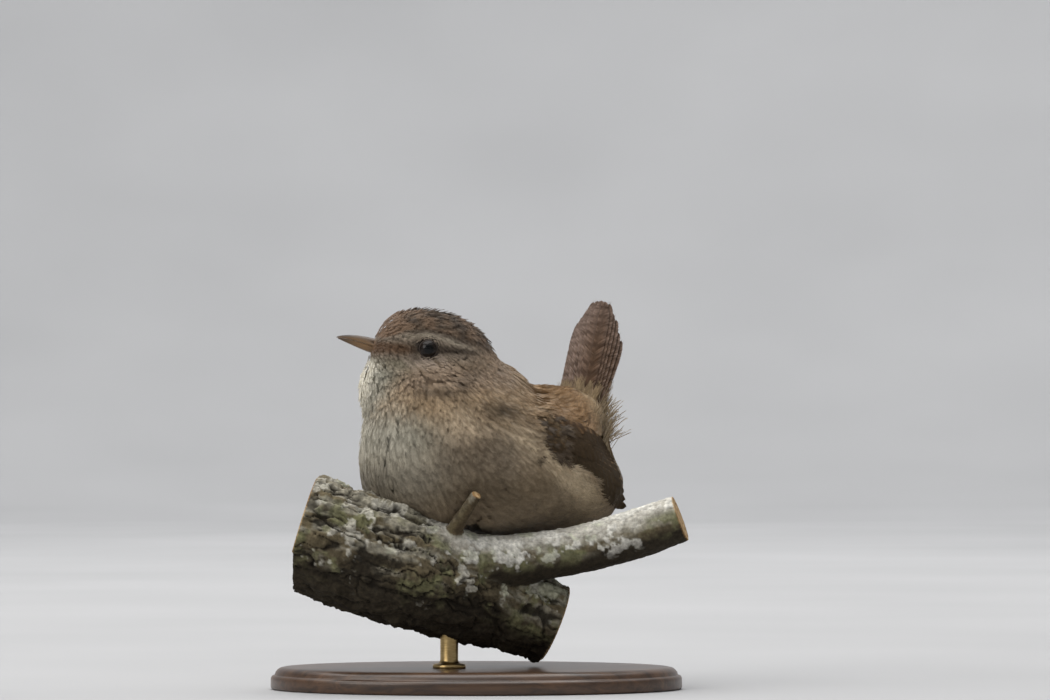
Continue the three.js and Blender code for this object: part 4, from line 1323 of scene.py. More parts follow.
for k, name in enumerate(NAMES):
    groups = []
    for low_l, high_l, nb in ((0, 2.0, 8), (2.0, 3.6, 13), (3.6, 5.6, 18), (5.6, 99, 22)):
        m = (region == k) & (L >= low_l) & (L < high_l)
        if m.sum() < 2:
            continue
        made = feathers(root[m], L[m], half[m], depth[m], lift[m], nb, turn=turn[m], fine=k < 3)
        V = clear_of_wood(made[0].reshape(-1, 3), 0.08).reshape(made[0].shape)
        groups.append({"root": root[m], "made": (V, *made[1:])})
    if groups:
        coat_piece(name, groups, HEAD_CENTRE if k < 3 else np.array([0, 0, 52.0]), SLOTS[k], M_FEATHER)


# ---- flight feathers: closed vanes with a shaft, notched edges and bars --------------------------------
def vane(S, N, lead, trail, thick, seed, rows=None, shear=0.75, camber=0.06, notch=1.0):
    """A feather's vane about the centreline S, with the outward directions N. lead and trail are the widths of its two
    webs at each row. Returns vertices, triangles, and for each vertex its place across (-1 lead, 1 trail) and along."""
    r = np.random.default_rng(seed)
    n = len(S)
    t = np.linspace(0, 1, n)
    T = unit(np.gradient(S, axis=0))
    B = unit(np.cross(T, N))
    N = np.cross(B, T)
    rib = 0.30 * r.normal(0, 1, (n, 2, 1))
    rag = 1 + notch * 0.03 * r.normal(0, 1, (2, n))
    for k in range(2):
        for _ in range(int(2 * notch)):
            a = r.integers(n // 3, n - 2)
            rag[k, a:a + 1] *= 0.82
    lead, trail = lead * rag[0], trail * rag[1]
    across = np.array([-1, -0.5, 0, 0.5, 1, 0.5, 0, -0.5])
    height = np.array([0, 0.6, 1.5, 0.6, 0, -0.6, -1.2, -0.6])
    V = np.empty((n, 8, 3))
    for k in range(8):
        w = across[k] * (lead if across[k] < 0 else trail)
        # barbs run forward from the shaft, so a row's ends lie nearer the tip
        along = shear * np.abs(w) * (1 - t ** 3)
        V[:, k] = S + w[:, None] * B + along[:, None] * T + (height[k] * thick * (0.35 + 0.65 * np.sin(np.pi * np.clip(t + 0.12, 0, 1))) - camber * w * w)[:, None] * N
    F = []
    for i in range(n - 1):
        for k in range(8):
            a, b, c, d = i * 8 + k, i * 8 + (k + 1) % 8, (i + 1) * 8 + (k + 1) % 8, (i + 1) * 8 + k
            F += [[a, b, c], [a, c, d]]
    for k in range(1, 7):
        F.append([0, k + 1, k])
        F.append([(n - 1) * 8, (n - 1) * 8 + k, (n - 1) * 8 + k + 1])
    F = np.array(F)
    P = V.reshape(-1, 3)
    K = np.stack([(1 if k < 5 else -1) * N + 0.35 * across[k] * B + rib[:, int(across[k] > 0)] * (across[k] != 0) * T for k in range(8)], 1).reshape(-1, 3)
    place = np.stack([np.tile(across, n), np.repeat(t, 8), np.tile(np.where(np.arange(8) > 4, 1.0, 0.0), n)], -1)
    if dots(P[F[:, 0]] - P.mean(0), np.cross(P[F[:, 1]] - P.mean(0), P[F[:, 2]] - P.mean(0))).sum() < 0:
        F = F[:, ::-1]
    # loose barbs fringe both edges and the tip
    tt = np.sort(r.uniform(0.30, 1.0, 46))
    i = np.minimum((tt * (n - 1)).astype(int), n - 2)
    wq, X = (tt * (n - 1) - i)[:, None], []
    for hand, k in ((-1, 0), (1, 4)):
        e = V[i, k] * (1 - wq) + V[i + 1, k] * wq
        m = V[i, 2] * (1 - wq) + V[i + 1, 2] * wq
        along, across_ = T[i], B[i] * hand
        inner = mix(e, m, 0.30)
        size = (0.35 + 0.40 * r.random(len(tt)))[:, None]
        tipward = ease(0.8, 1.0, tt)[:, None]
        out = e + (along * (0.95 + 0.25 * tipward) + across_ * 0.42 * (1 - 0.6 * tipward)) * size - N[i] * 0.03
        wide = along * 0.10
        quad = np.stack([inner - wide, inner + wide, out, inner - N[i] * 0.05], 1)
        start = len(P)
        P = np.vstack([P, quad.reshape(-1, 3)])
        f = np.array([[0, 1, 2], [1, 0, 3], [2, 1, 3], [0, 2, 3]])
        if hand > 0:
            f = f[:, ::-1]
        A, Bc, C, D = quad[0]
        if dots(np.cross(Bc - A, C - A), D - A) > 0:
            f = np.array([[0, 2, 1], [1, 3, 0], [2, 3, 1], [0, 3, 2]])
        else:
            f = np.array([[0, 1, 2], [1, 0, 3], [2, 1, 3], [0, 2, 3]])
        F = np.vstack([F, (start + np.arange(len(tt))[:, None, None] * 4 + f[None]).reshape(-1, 3)])
        K = np.vstack([K, np.repeat(N[i] + 0.3 * across_ + 0.2 * r.normal(size=(len(tt), 1)) * along, 4, axis=0)])
        sp = np.stack([np.array([0.7, 0.7, 1.0, 0.7]) * hand + 0 * tt[:, None], tt[:, None] + 0 * np.zeros(4), np.zeros((len(tt), 4))], -1)
        place = np.vstack([place, sp.reshape(-1, 3)])
    return P, F, place, unit(K)


def vane_piece(name, made, material=None):
    """Joins vanes into one mesh, with a strip of the bake map for each."""
    V, F, C, U, N, base = [], [], [], [], [], 0
    per = math.ceil(math.sqrt(len(made)))
    for k, (v, f, c, place, nn) in enumerate(made):
        N.append(nn)
        V.append(v)
        F.append(f + base)
        C.append(c)
        u0, v0 = (k % per) / per, (k // per) / per
        wide = 0.46 / per
        x = 0.25 / per + place[:, 0] * wide * 0.48 + np.where(place[:, 2] > 0, 0.5 / per, 0)
        U.append(np.stack([u0 + x, v0 + (0.03 + 0.94 * place[:, 1]) / per], -1))
        base += len(v)
    V, F = np.vstack(V), np.vstack(F)
    ob = mesh_object(name, V, F, np.vstack(C), np.vstack(U), smooth=True, material=material or M_VANE, normals=np.vstack(N))
    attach(ob, "root")
    print("VANES", name, len(made), "triangles", len(F), flush=True)
    return ob


def web(t, tip_from=0.8, base=0.45):
    """How wide a web is along a feather: narrow at the quill, rounded at the tip."""
    return (base + (1 - base) * ease(0, 0.35, t)) * np.sqrt(np.clip(1 - (np.clip((t - tip_from) / (1 - tip_from), 0, 1)) ** 2.2, 0.0008, 1))


def chart_line(a, b, bow, off, side, n):
    """A centreline across the wing from a to b, with bow towards the back, at the heights off over the flank."""
    t = np.linspace(0, 1, n)
    a, b = np.array(a, float), np.array(b, float)
    d = b - a
    perp = np.array([d[1], -d[0]]) / np.hypot(*d)
    q = a + d * t[:, None] + perp * (bow * 4 * t * (1 - t))[:, None]
    e = 0.15
    S = on_wing(q[:, 0], q[:, 1], off, side)
    Sf = on_wing(q[:, 0] + e, q[:, 1], off, side)
    Sz = on_wing(q[:, 0], q[:, 1] + e, off, side)
    N = unit(np.cross(Sf - S, Sz - S))
    N = N * np.sign(dots(N, TRUNK_AXES[1] * side))[:, None]
    return S, N, t


def wing_bars(place, length, side_strength=1.0, period=2.1, seed=0, base=WING_DARK, bar=WING_BAR, lead_only=True, phase=0.0):
    r = np.random.default_rng(seed)
    x = (1 - place[:, 1]) * length + 0.35 * np.abs(place[:, 0]) + phase + 0.15 * r.normal()
    w = 0.5 + 0.5 * np.cos(x / period * 2 * np.pi)
    w = ease(0.42, 0.8, w)
    web_side = ease(-0.05, -0.35, place[:, 0]) if lead_only else 0.25 + 0.75 * ease(0.1, 0.5, np.abs(place[:, 0]))
    c = mixc(np.broadcast_to(base, (len(x), 3)), np.broadcast_to(bar, (len(x), 3)), w * web_side * side_strength)
    c = c * (1 + 0.06 * r.normal()) * np.where(np.abs(place[:, 0]) < 0.05, 0.8, 1.0)[:, None]
    # painted shade: the underside of each vane is darker
    return c * np.where(place[:, 2] > 0, 0.75, 1.0)[:, None]


PRIMARIES = [  # tip forward and height, base forward and height, from the outermost in
    ((-16.0, 47.9), (10.8, 57.0)), ((-19.6, 44.6), (10.9, 57.2)), ((-24.0, 43.2), (11.0, 57.5)), ((-27.6, 42.2), (11.0, 57.8)), ((-29.4, 42.0), (10.8, 58.0)),
    ((-29.1, 43.6), (10.4, 58.3)), ((-28.3, 45.4), (9.8, 58.6)), ((-27.5, 47.4), (9.2, 58.9)), ((-26.6, 49.4), (8.5, 59.3)), ((-26.0, 51.0), (7.8, 59.6)),
]
SECONDARIES = [
    ((-25.4, 52.2), (7.2, 60.0)), ((-24.8, 53.2), (6.4, 60.6)), ((-24.2, 54.2), (5.6, 61.2)), ((-23.4, 55.2), (4.8, 61.8)), ((-22.4, 56.2), (4.0, 62.4)), ((-21.2, 57.2), (3.2, 63.0)),
]
TERTIALS = [((-19.4, 58.2), (0.6, 62.6)), ((-15.4, 60.0), (0.2, 63.2)), ((-10.2, 61.6), (0.0, 63.6))]


def wing(side):
    made = []
    tag = 0 if side > 0 else 500

    def put(tip, base, lead, trail, off0, off1, bow, seed, n=40, thick=0.07, bars=1.0, lead_only=True, colour=WING_DARK, bar=WING_BAR, tip_from=0.8, pale_tip=0.0, period=2.1, power=1.6, phase=0.0):
        t = np.linspace(0, 1, n)
        S, N, t = chart_line(base, tip, bow, off0 + (off1 - off0) * t ** power, side, n)
        length = np.linalg.norm(np.diff(S, axis=0), axis=1).sum()
        lw, tw = lead * web(t, tip_from), trail * web(t, tip_from)
        if side < 0:
            lw, tw = tw, lw
        V, F, place, K = vane(S, N, lw, tw, thick, seed + tag)
        if side < 0:
            place = place * [-1, 1, 1]
        # the lower web is the leading one
        c = wing_bars(place, length, bars, period, seed, colour, bar, lead_only, phase)
        if pale_tip:
            c = mixc(c, np.broadcast_to(BUFF, c.shape), pale_tip * ease(0.86, 0.97, place[:, 1]) * ease(0.75, 0.3, np.abs(place[:, 0])))
        made.append((V, F, c, place, K))

    for k, (tip, base) in enumerate(PRIMARIES):
        put(tip, base, 0.95, 2.3, -0.75 + 0.02 * k, [-0.45, -0.35, -0.15, 0.15, 0.40][min(k, 4)] + 0.05 * max(k - 4, 0), 1.8 - 0.09 * k, 10 + k, n=92, tip_from=0.84, bars=0.62, period=2.3, power=2.2)
    for k, (tip, base) in enumerate(SECONDARIES):
        put(tip, base, 1.15, 2.4, -0.30 + 0.03 * k, 0.52 + 0.035 * k, 0.5, 30 + k, n=84, tip_from=0.86, bars=0.62, period=2.2, colour=tone(58, 46, 32, GAIN))
    for k, (tip, base) in enumerate(TERTIALS):
        put(tip, base, 2.0, 2.3, -1.5 + 0.05 * k, 0.60 + 0.06 * k, -0.3, 40 + k, power=0.8, n=70, tip_from=0.78, bars=0.6, lead_only=False, colour=tone(60, 45, 30, GAIN), bar=tone(92, 70, 46, GAIN), period=2.1)
    # primary coverts and the alula
    for k in range(7):
        w = k / 6
        put((mix(-5.5, -9.5, w), mix(54.2, 56.6, w)), (mix(11.5, 9.5, w), mix(57.0, 59.0, w)), 0.9, 1.3, -1.0, 0.16 + 0.03 * k, 0.4, 50 + k, n=50, bars=0.5, period=1.9, phase=0.3, power=1.3)
    for k in range(3):
        put((mix(-3.0, -5.0, k / 2), mix(55.4, 56.4, k / 2)), (10.0, 58.0 + 0.4 * k), 0.9, 1.2, -1.1, 0.20 + 0.04 * k, 0.2, 60 + k, n=44, bars=0.4, period=1.8, power=1.0)
    # greater coverts
    for k in range(9):
        w = k / 8
        put((mix(-8.6, -6.4, w) + 0.5 * math.sin(k * 2.4), mix(56.0, 63.4, w)), (mix(9.6, 2.6, w), mix(58.8, 64.2, w)), 1.2, 1.35, -0.9 - 0.07 * k, 0.50 + 0.03 * k, -0.3, 70 + k, power=1.0, n=50,
            bars=0.5, lead_only=False, colour=tone(56, 45, 31, GAIN), bar=tone(84, 65, 45, GAIN), tip_from=0.70, period=2.0, pale_tip=0.15, phase=0.6)
    ob = vane_piece("wing_feathers_" + ("l" if side > 0 else "r"), made)
    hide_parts("wing_l" if side > 0 else "wing_r")


wing(1)
wing(-1)


def wing_coverts(side):
    """Soft, barbed coverts over the front of the folded wing."""
    groups = []
    r = np.random.default_rng(700 + (side > 0))
    for row, (f0, L0, up) in enumerate([(2.4, 4.8, 0.05), (0.4, 5.0, 0.20), (-1.6, 5.4, 0.38), (-3.8, 5.8, 0.54)]):
        z = np.arange(55.0 + 0.4 * (row % 2), 63.4, 0.8)
        z = z + 0.22 * r.normal(size=len(z))
        f = f0 + 0.45 * r.normal(size=len(z)) + 0.25 * (60 - z) * 0.35
        root = on_wing(f, z, -0.25, side)
        n = len(root)
        tipped = (r.random(n) < 0.4) * 0.22 * r.random(n)
        shade = 1 + 0.12 * r.normal(size=n)

        def pattern(C, U, V, tipped=tipped, shade=shade):
            t, s = U[..., 1], np.abs(U[..., 0])
            c = np.broadcast_to(tone(64, 51, 36, GAIN), C.shape) * shade[:, None, None]
            c = mixc(c, spread_of(WING_DARK, C), 0.5 * ease(0.45, 0.64, t) * ease(0.92, 0.76, t))
            c = mixc(c, spread_of(BUFF, C), tipped[:, None] * ease(0.92, 1.06, t) * ease(0.8, 0.2, s))
            # painted shade: darker towards the root, where the feather lies under others
            return c * mix(0.7, 1.0, ease(0.25, 0.7, t))[..., None]

        made = feathers(root, L0 * (1 + 0.08 * r.normal(size=n)), np.full(n, L0 * 0.19), np.full(n, 0.30), up + 0.10 * r.random(n), 15, turn=0.12 * r.normal(size=n), pattern=pattern)
        groups.append({"root": root, "made": made})
    coat_piece("coat_wing_" + ("l" if side > 0 else "r"), groups, np.array([0, 0, 52.0]), "wing", M_FEATHER)


wing_coverts(1)
wing_coverts(-1)


# ---- the tail --------------------------------------------------------------------------------------
TAIL_ROOT = np.array([19.4, 11.2, 58.0])
TAIL_WAY = unit([0.205, 0.115, 1.0])
left = TRUNK_AXES[1] - (TRUNK_AXES[1] @ TAIL_WAY) * TAIL_WAY
left = unit(left)
ca, sa = math.cos(15 * DEG), math.sin(15 * DEG)
TAIL_SIDE = left * ca + np.cross(TAIL_WAY, left) * sa
TAIL_FACE = np.cross(TAIL_SIDE, TAIL_WAY)


def tail():
    made = []
    for i in range(6):
        for hand in (1, -1):
            # the far half is closed and broad at the root, the near half fans out
            fan = ([0.8, 2.4, 4.2, 6.4, 8.8, 11.2] if hand > 0 else [0.4, 0.2, 0.2, 0.2, 0.1, -0.2])[i]
            off = 0.35 + (0.34 if hand > 0 else 1.62) * i
            L = 31.5 - ([0, 0.8, 2.6, 4.0, 6.4, 8.4] if hand > 0 else [0.2, 0.5, 1.1, 2.1, 3.5, 5.2])[i] + 0.25 * rng.normal()
            n = 96
            t = np.linspace(0, 1, n)
            y = t * L
            a = hand * fan * DEG
            u = y * math.sin(a) + hand * off + hand * 0.35 * i * 0.16 * np.sin(t * np.pi)
            v = y * math.cos(a)
            deep = -0.24 * i - 0.012 * u * u + (0.05 if hand > 0 else 0)
            S = TAIL_ROOT + u[:, None] * TAIL_SIDE + v[:, None] * TAIL_WAY + deep[:, None] * TAIL_FACE
            N = np.broadcast_to(TAIL_FACE, S.shape)
            w = 2.45 * (0.62 + 0.38 * ease(0, 0.5, t)) * np.sqrt(np.clip(1 - np.clip((t - 0.76) / 0.24, 0, 1) ** 1.9, 0.001, 1))
            outer = w * mix(1.0, 0.62, i / 5)
            V, F, place, K = vane(S, N, w if hand > 0 else outer, outer if hand > 0 else w, 0.075, 300 + 2 * i + (hand > 0), camber=0.015, shear=0.8, notch=0.8)
            # dark bars cross every feather at the same distance from the root
            x = place[:, 1] * L + 0.8 * np.abs(place[:, 0]) * 1.2
            wave = 0.5 + 0.5 * np.cos((x + 0.35 * np.sin(x * 0.7 + i)) / 2.35 * 2 * np.pi)
            k = ease(0.45, 0.80, wave) * (0.42 + 0.20 * ease(0.2, 0.7, np.abs(place[:, 0]))) * (1 if hand > 0 else 0.7)
            # paler outer webs and tips, and a painted sheen that pales the far half of the fan, more on its outer
            # feathers
            edge = ease(0.45, 0.95, place[:, 0] * hand) * (0.3 + 0.12 * i) + (0.2 + 0.55 * (i / 5)) * (hand < 0) + 0.45 * ease(0.6, 1.0, place[:, 1])
            c = mixc(np.broadcast_to(TAIL_RUFOUS, V.shape), np.broadcast_to(TAIL_PALE_AND_SHEEN, V.shape), np.clip(edge, 0, 1))
            c = mixc(c, np.broadcast_to(TAIL_DARK, V.shape), k)
            c = c * (np.where(np.abs(place[:, 0]) < 0.05, 0.75, 1.0) * (1 + 0.05 * rng.normal()))[:, None]
            made.append((V, F, c, place, K))
    ob = vane_piece("tail_feathers", made)
    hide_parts("tail")


tail()


def tail_coverts():
    """Loose rufous feathers that hide the tail's root on both faces."""
    groups = []
    for face, rows in ((1, 6), (-1, 6)):
        roots, ways, L, lift = [], [], [], []
        for r in range(rows):
            for k in range(9):
                u = ((k - 4 + 0.5 * (r % 2)) * 0.85 - (1.6 if face > 0 else 0.6)) * (1.25 if k < 4 else 1.0) + 0.2 * rng.normal()
                roots.append(TAIL_ROOT + TAIL_SIDE * u * (1 + 0.05 * r) + TAIL_WAY * (-3.6 + 1.7 * r + 0.4 * rng.normal() - 0.10 * abs(u) ** 1.5) + TAIL_FACE * face * (0.7 + 0.22 * (rows - r) - 0.012 * u * u) - TAIL_FACE * 0.9)
                ways.append(unit(TAIL_WAY + TAIL_SIDE * 0.055 * u + 0.04 * rng.normal(size=3) - TAIL_FACE * face * 0.05))
                L.append(mix(9.0, 7.0, r / rows) * (1 + 0.1 * rng.normal()))
        root, way, L = np.array(roots), np.array(ways), np.array(L)
        n, K, top = len(root), 9, 1.22
        t = np.linspace(0, top, K)
        out = TAIL_FACE * face
        S = root[:, None] + way[:, None] * (t[None] * L[:, None])[..., None] + out * (0.35 * np.sin(t * 2.2))[None, :, None]
        groups.append((S, np.broadcast_to(out, S.shape), root, L))
    roots, ways, L = [], [], []
    for k in range(240):
        f, l, z = rng.uniform(-26.5, -20), rng.uniform(-7, 12), rng.uniform(54.5, 63)
        roots.append(bird([f, l, z]))
        ways.append(unit(bird([-0.55 + 0.25 * rng.normal(), 0.20 + 0.25 * rng.normal(), 0.80 + 0.22 * rng.normal()])))
        L.append(rng.uniform(2.6, 5.6))
    root, way, L = settle(np.array(roots), -0.4, 3), np.array(ways), np.array(L)
    _, g = slope_of(plumage, root)
    out = unit(g)
    t = np.linspace(0, 1.22, 9)
    way = unit(way - 0.45 * dots(way, out)[:, None] * out)
    S = root[:, None] + way[:, None] * (t[None] * L[:, None])[..., None] + out[:, None] * (0.26 * L[:, None] * t[None] ** 1.5)[..., None]
    S = S + TAIL_SIDE * (rng.normal(0, 0.08, len(L))[:, None] * L[:, None] * t[None] ** 2)[..., None]
    wisps = plain_feathers(S, np.broadcast_to(out[:, None], S.shape), L * 0.036, 10, L, colour=tone(150, 133, 106, GAIN))
    gs = [{"root": r, "made": plain_feathers(S, N, L * 0.2, 16, L, colour=RUMP * 0.80)} for S, N, r, L in groups] + [{"root": root, "made": wisps}]
    coat_piece("coat_tail_coverts", gs, np.array([14.0, 8.0, 50.0]), "trunk", M_FEATHER)


def plain_feathers(S, N, half, nb, L, colour=RUMP, top=1.22):
    """Barbed feathers along given centrelines, away from the body's surface."""
    n = len(S)
    T = unit(np.gradient(S, axis=1))
    B = unit(np.cross(T, N))
    N = np.cross(B, T)
    i = np.arange(nb)
    ti = 0.12 + 0.86 * (i / nb) ** 0.95
    gap = np.gradient(ti)
    ang = mix(44, 14, ease(0.1, 1.0, ti)) * DEG
    prof = (0.35 + 0.65 * np.sin(np.pi * np.clip(ti * 0.92, 0, 1)) ** 0.8) * np.where(ti > 0.75, 1 - 0.45 * ease(0.75, 1.0, ti), 1)
    V, F, U, K, base = [], [], [], [], 0
    z = np.zeros((n, 1))
    for s in (1, -1):
        w = half[:, None] * prof * (1 + 0.35 * (rng.random((n, nb)) - 0.5))
        tc = np.clip(ti + w / np.tan(ang) / L[:, None], 0, top - 0.01)
        c = at_param(S, tc, top) + s * w[..., None] * at_param(B, tc, top) - at_param(N, tc, top) * (0.08 * w * w / half[:, None] - 0.06 * rng.random((n, nb)))[..., None]
        v, f, k, tb = barbs(S, B, N, ti, gap, w, tc, c, s, top, thick=0.10)
        V.append(v)
        F.append(f + base)
        K.append(k)
        base += nb * 4
        ss = np.stack([z - s * 0.04 + 0 * w, z + 0 * w, s * w / half[:, None], s * (0.12 + 0 * w)], 2)
        tt = np.stack([ti + z, tb, tc, ti + z + 0.02], 2)
        U.append(np.stack([ss, tt], -1).reshape(n, nb * 4, 2))
    V, F, U, K = np.concatenate(V, 1), np.concatenate(F, 0), np.concatenate(U, 1), unit(np.concatenate(K, 1))
    a, b, c = V[:, F[0, 0]], V[:, F[0, 1]], V[:, F[0, 2]]
    if (dots(np.cross(b - a, c - a), N[:, 4]) > 0).mean() < 0.5:
        F = F[:, ::-1]
    t, s = U[..., 1], np.abs(U[..., 0])
    # painted shade: darker towards the root, where the feather lies under others
    k = (1 + 0.08 * rng.normal(0, 1, (n, 1))) * mix(0.7, 1.0, ease(0.2, 0.6, t))
    k = k * (1 - 0.25 * ease(0.60, 0.68, t) * ease(0.84, 0.76, t)) * (1 + 0.15 * ease(0.9, 1.1, t))
    return V, F, np.broadcast_to(colour, V.shape) * k[..., None], U, K


tail_coverts()


# ---- eyes ------------------------------------------------------------------------------------------
def eye_material():
    m, nt, b = material("eye_gloss")
    col = node(nt, "ShaderNodeVertexColor", layer_name="Col")
    where = node(nt, "ShaderNodeTexCoord")
    tex = node(nt, "ShaderNodeTexNoise", Scale=2600.0, Detail=2.0)
    link(nt, where.outputs["Object"], tex.inputs["Vector"])
    mr = node(nt, "ShaderNodeMapRange")
    mr.inputs["To Min"].default_value = 0.7
    mr.inputs["To Max"].default_value = 1.3
    link(nt, tex.outputs["Fac"], mr.inputs["Value"])
    s = node(nt, "ShaderNodeVectorMath", operation="SCALE")
    link(nt, col.outputs["Color"], s.inputs[0])
    link(nt, mr.outputs[0], s.inputs["Scale"])
    link(nt, s.outputs[0], b.inputs["Base Color"])
    b.inputs["Roughness"].default_value = 0.16
    b.inputs["Specular IOR Level"].default_value = 0.14
    b.inputs["Coat Weight"].default_value = 0.16
    b.inputs["Coat Roughness"].default_value = 0.04
    return m


M_EYE = eye_material()
for side, name in ((1, "l"), (-1, "r")):
    c = in_head([EYE[0], side * EYE[1], EYE[2]])
    fr = np.stack([HEAD_AXES[0], HEAD_AXES[2], HEAD_AXES[1] * side])
    rings, seg = 40, 48
    V = []
    for i in range(rings + 1):
        th = math.pi * i / rings
        bulge = 0.13 * math.exp(-(th / 0.62) ** 4)
        r = EYE_R - 0.02 + bulge * 0.6
        for k in range(seg if 0 < i < rings else 1):
            ph = 2 * math.pi * k / seg
            V.append([r * math.sin(th) * math.cos(ph), r * math.sin(th) * math.sin(ph), r * math.cos(th)])
    V = np.array(V)
    F = []
    row = lambda i: 0 if i == 0 else 1 + (i - 1) * seg
    for i in range(rings):
        for k in range(seg):
            k2 = (k + 1) % seg
            if i == 0:
                F.append([0, row(1) + k, row(1) + k2])
            elif i == rings - 1:
                F.append([row(i) + k, len(V) - 1, row(i) + k2])
            else:
                F += [[row(i) + k, row(i + 1) + k, row(i + 1) + k2], [row(i) + k, row(i + 1) + k2, row(i) + k2]]
    rad = np.hypot(V[:, 0], V[:, 1])
    col = mixc(np.broadcast_to([0.004, 0.004, 0.004], V.shape), np.broadcast_to([0.012, 0.008, 0.006], V.shape), ease(1.05, 1.2, rad) * (V[:, 2] > 0))
    W = c + V @ fr
    F = outward(W - c, np.array(F))
    ob = mesh_object("eyeball_" + name, W, F, col, smooth=True, material=M_EYE)
    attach(ob, "root")
    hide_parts("eye_" + name)


# ---- bill ------------------------------------------------------------------------------------------
BILL_LINES = np.array([
    [10.36, 0.77, -1.23, -2.63, 2.1], [12.26, 0.92, -1.0, -2.53, 1.85], [13.96, 1.04, -0.78, -2.3, 1.55], [15.76, 1.06, -0.58, -2.06, 1.25], [17.75, 0.92, -0.44, -1.7, 0.95],
    [19.75, 0.58, -0.42, -1.3, 0.66], [21.15, 0.18, -0.48, -1.0, 0.42], [21.86, -0.12, -0.58, -0.84, 0.25], [22.36, -0.44, -0.68, -0.78, 0.1],
])


def bill_half(upper, tip):
    n, m = 72, 40
    V, C = [], []
    for f in np.linspace(BILL_LINES[0, 0], tip, n):
        ridge, edge, under, wide = [np.interp(f, BILL_LINES[:, 0], BILL_LINES[:, k]) for k in range(1, 5)]
        w = wide * (1 if upper else 0.92)
        mid = edge + (0.03 if upper else -0.03)
        tall = ridge - mid if upper else mid - under
        for k in range(m):
            a = 2 * math.pi * k / m
            ca, s = math.cos(a), math.sin(a)
            x = math.copysign(abs(ca) ** 0.92, ca) * w
            if upper:
                y = s * tall * (0.92 + 0.08 * abs(s)) if s > 0 else s * 0.02
                # the nostril is a slit in a shallow groove
                groove = math.exp(-(((f - 14.0) / 1.5) ** 2 + ((s - 0.52) / 0.22) ** 2)) if s > 0 else 0
                slit = math.exp(-(((f - 13.9) / 0.62) ** 2 + ((s - 0.46 - 0.03 * (f - 13.9)) / 0.085) ** 2)) if s > 0 else 0
                x -= math.copysign(0.10 * groove + 0.26 * slit, ca) * min(1, abs(ca) * 2)
                dark = ease(0.25, 0.95, s) * 0.75 + 0.35 * ease(17, 21.5, f)
                c = mix(tone(112, 88, 62, 1.1), tone(52, 43, 36, 1.0), min(1.0, dark))
                c = mix(c, tone(86, 64, 45, 1.1), float(ease(16.0, 13.2, f)) * 0.7)
                # painted shade: the nostril slit and its groove are darkened
                c = c * (1 - 0.75 * slit) * (1 - 0.2 * groove)
                c = mix(c, tone(118, 92, 60, 1.1), 0.4 * math.exp(-((s / 0.22) ** 2)))
            else:
                y = s * tall if s < 0 else s * 0.02
                c = mix(tone(120, 92, 60, 1.1), tone(72, 58, 44, 1.1), ease(16.0, 21.5, f) * 0.85)
                # painted shade: the underside of the lower mandible is darker
                c = mix(c, tone(92, 72, 52, 1.1), 0.4 * ease(-0.6, -1.0, s))
                c = mix(c, tone(90, 68, 47, 1.1), float(ease(16.0, 13.2, f)) * 0.7)
            V.append([f, x, mid + y])
            C.append(c)
    V, C = np.array(V), np.array(C)
    F = []
    for i in range(n - 1):
        for k in range(m):
            a, b = i * m + k, i * m + (k + 1) % m
            F += [[a, b, b + m], [a, b + m, a + m]]
    for k in range(1, m - 1):
        F.append([0, k + 1, k])
        F.append([(n - 1) * m, (n - 1) * m + k, (n - 1) * m + k + 1])
    W = in_head(V)
    F = outward(W - W.mean(0), np.array(F))
    name = "bill_top" if upper else "bill_bottom"
    ob = mesh_object(name, W, F, C, smooth=True, material=M_BILL)
    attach(ob, "root")
    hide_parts("bill_upper" if upper else "bill_lower")


bill_half(True, 22.36)
bill_half(False, 22.01)


# ---- claws -----------------------------------------------------------------------------------------
for side in ("l", "r"):
    V, F, C, base = [], [], [], 0
    for rows in CLAWS[side]:
        p, r = rows[:, :3], rows[:, 3]
        T = unit(np.gradient(p, axis=0))
        _, g = slope_of(wood_distance, p)
        up = unit(g - dots(g, T)[:, None] * T)
        across = np.cross(T, up)
        m = 12
        for i in range(len(p)):
            for k in range(m):
                a = 2 * math.pi * k / m
                V.append(p[i] + r[i] * (0.72 * math.cos(a) * across[i] + 1.08 * math.sin(a) * up[i]))
                # painted shade: each claw darkens on its underside
                C.append(mix(tone(112, 90, 70, 1.1), tone(58, 48, 40, 1.1), ease(0.1, 0.9, i / (len(p) - 1))) * (0.85 + 0.15 * math.sin(a)))
        fs = []
        n = len(p)
        for i in range(n - 1):
            for k in range(m):
                a, b = i * m + k, i * m + (k + 1) % m
                fs += [[a, b, b + m], [a, b + m, a + m]]
        for k in range(1, m - 1):
            fs.append([0, k + 1, k])
            fs.append([(n - 1) * m, (n - 1) * m + k, (n - 1) * m + k + 1])
        W = np.array(V[-n * m:])
        F.append(outward(W - W.mean(0), np.array(fs)) + base)
        base += n * m
    ob = mesh_object("claws_" + side, np.array(V), np.vstack(F), np.array(C), smooth=True, material=M_CLAW)
    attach(ob, "root")
    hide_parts(*["claw_%s_%s" % (k, side) for k in ("hind", "inner", "middle", "outer")])


# ---- the perch -------------------------------------------------------------------------------------
ENDS = [(0, 0, -1), (0, -1, 1), (1, -1, 1), (2, -1, 1)]  # which limb, which end, outward along it


def sawn(p):
    """How far outside the nearest sawn end's plane a point is, limb by limb."""
    out = np.full((3,) + p.shape[:-1], -9.0)
    for w, i, s in ENDS:
        c = WOOD[w]
        out[w] = np.maximum(out[w], dots(p - c["p"][i], c["way"][i] * s))
    return out


def wood_frames(w):
    c = WOOD[w]
    ref = np.array([0, 1, 0]) if w == 2 else np.array([0, 0, 1.0])
    side = unit(np.cross(c["way"], ref))
    return side, np.cross(side, c["way"])


FRAMES = [wood_frames(w) for w in range(3)]
TOE_LINES = [line for s in LEGS for line, _, _ in LEGS[s]["toes"]]


def terraces(v, edge=0.28):
    """Steps with soft risers, like the edges of flaking bark."""
    k = np.floor(v)
    return k + ease(0.0, edge, v - k)


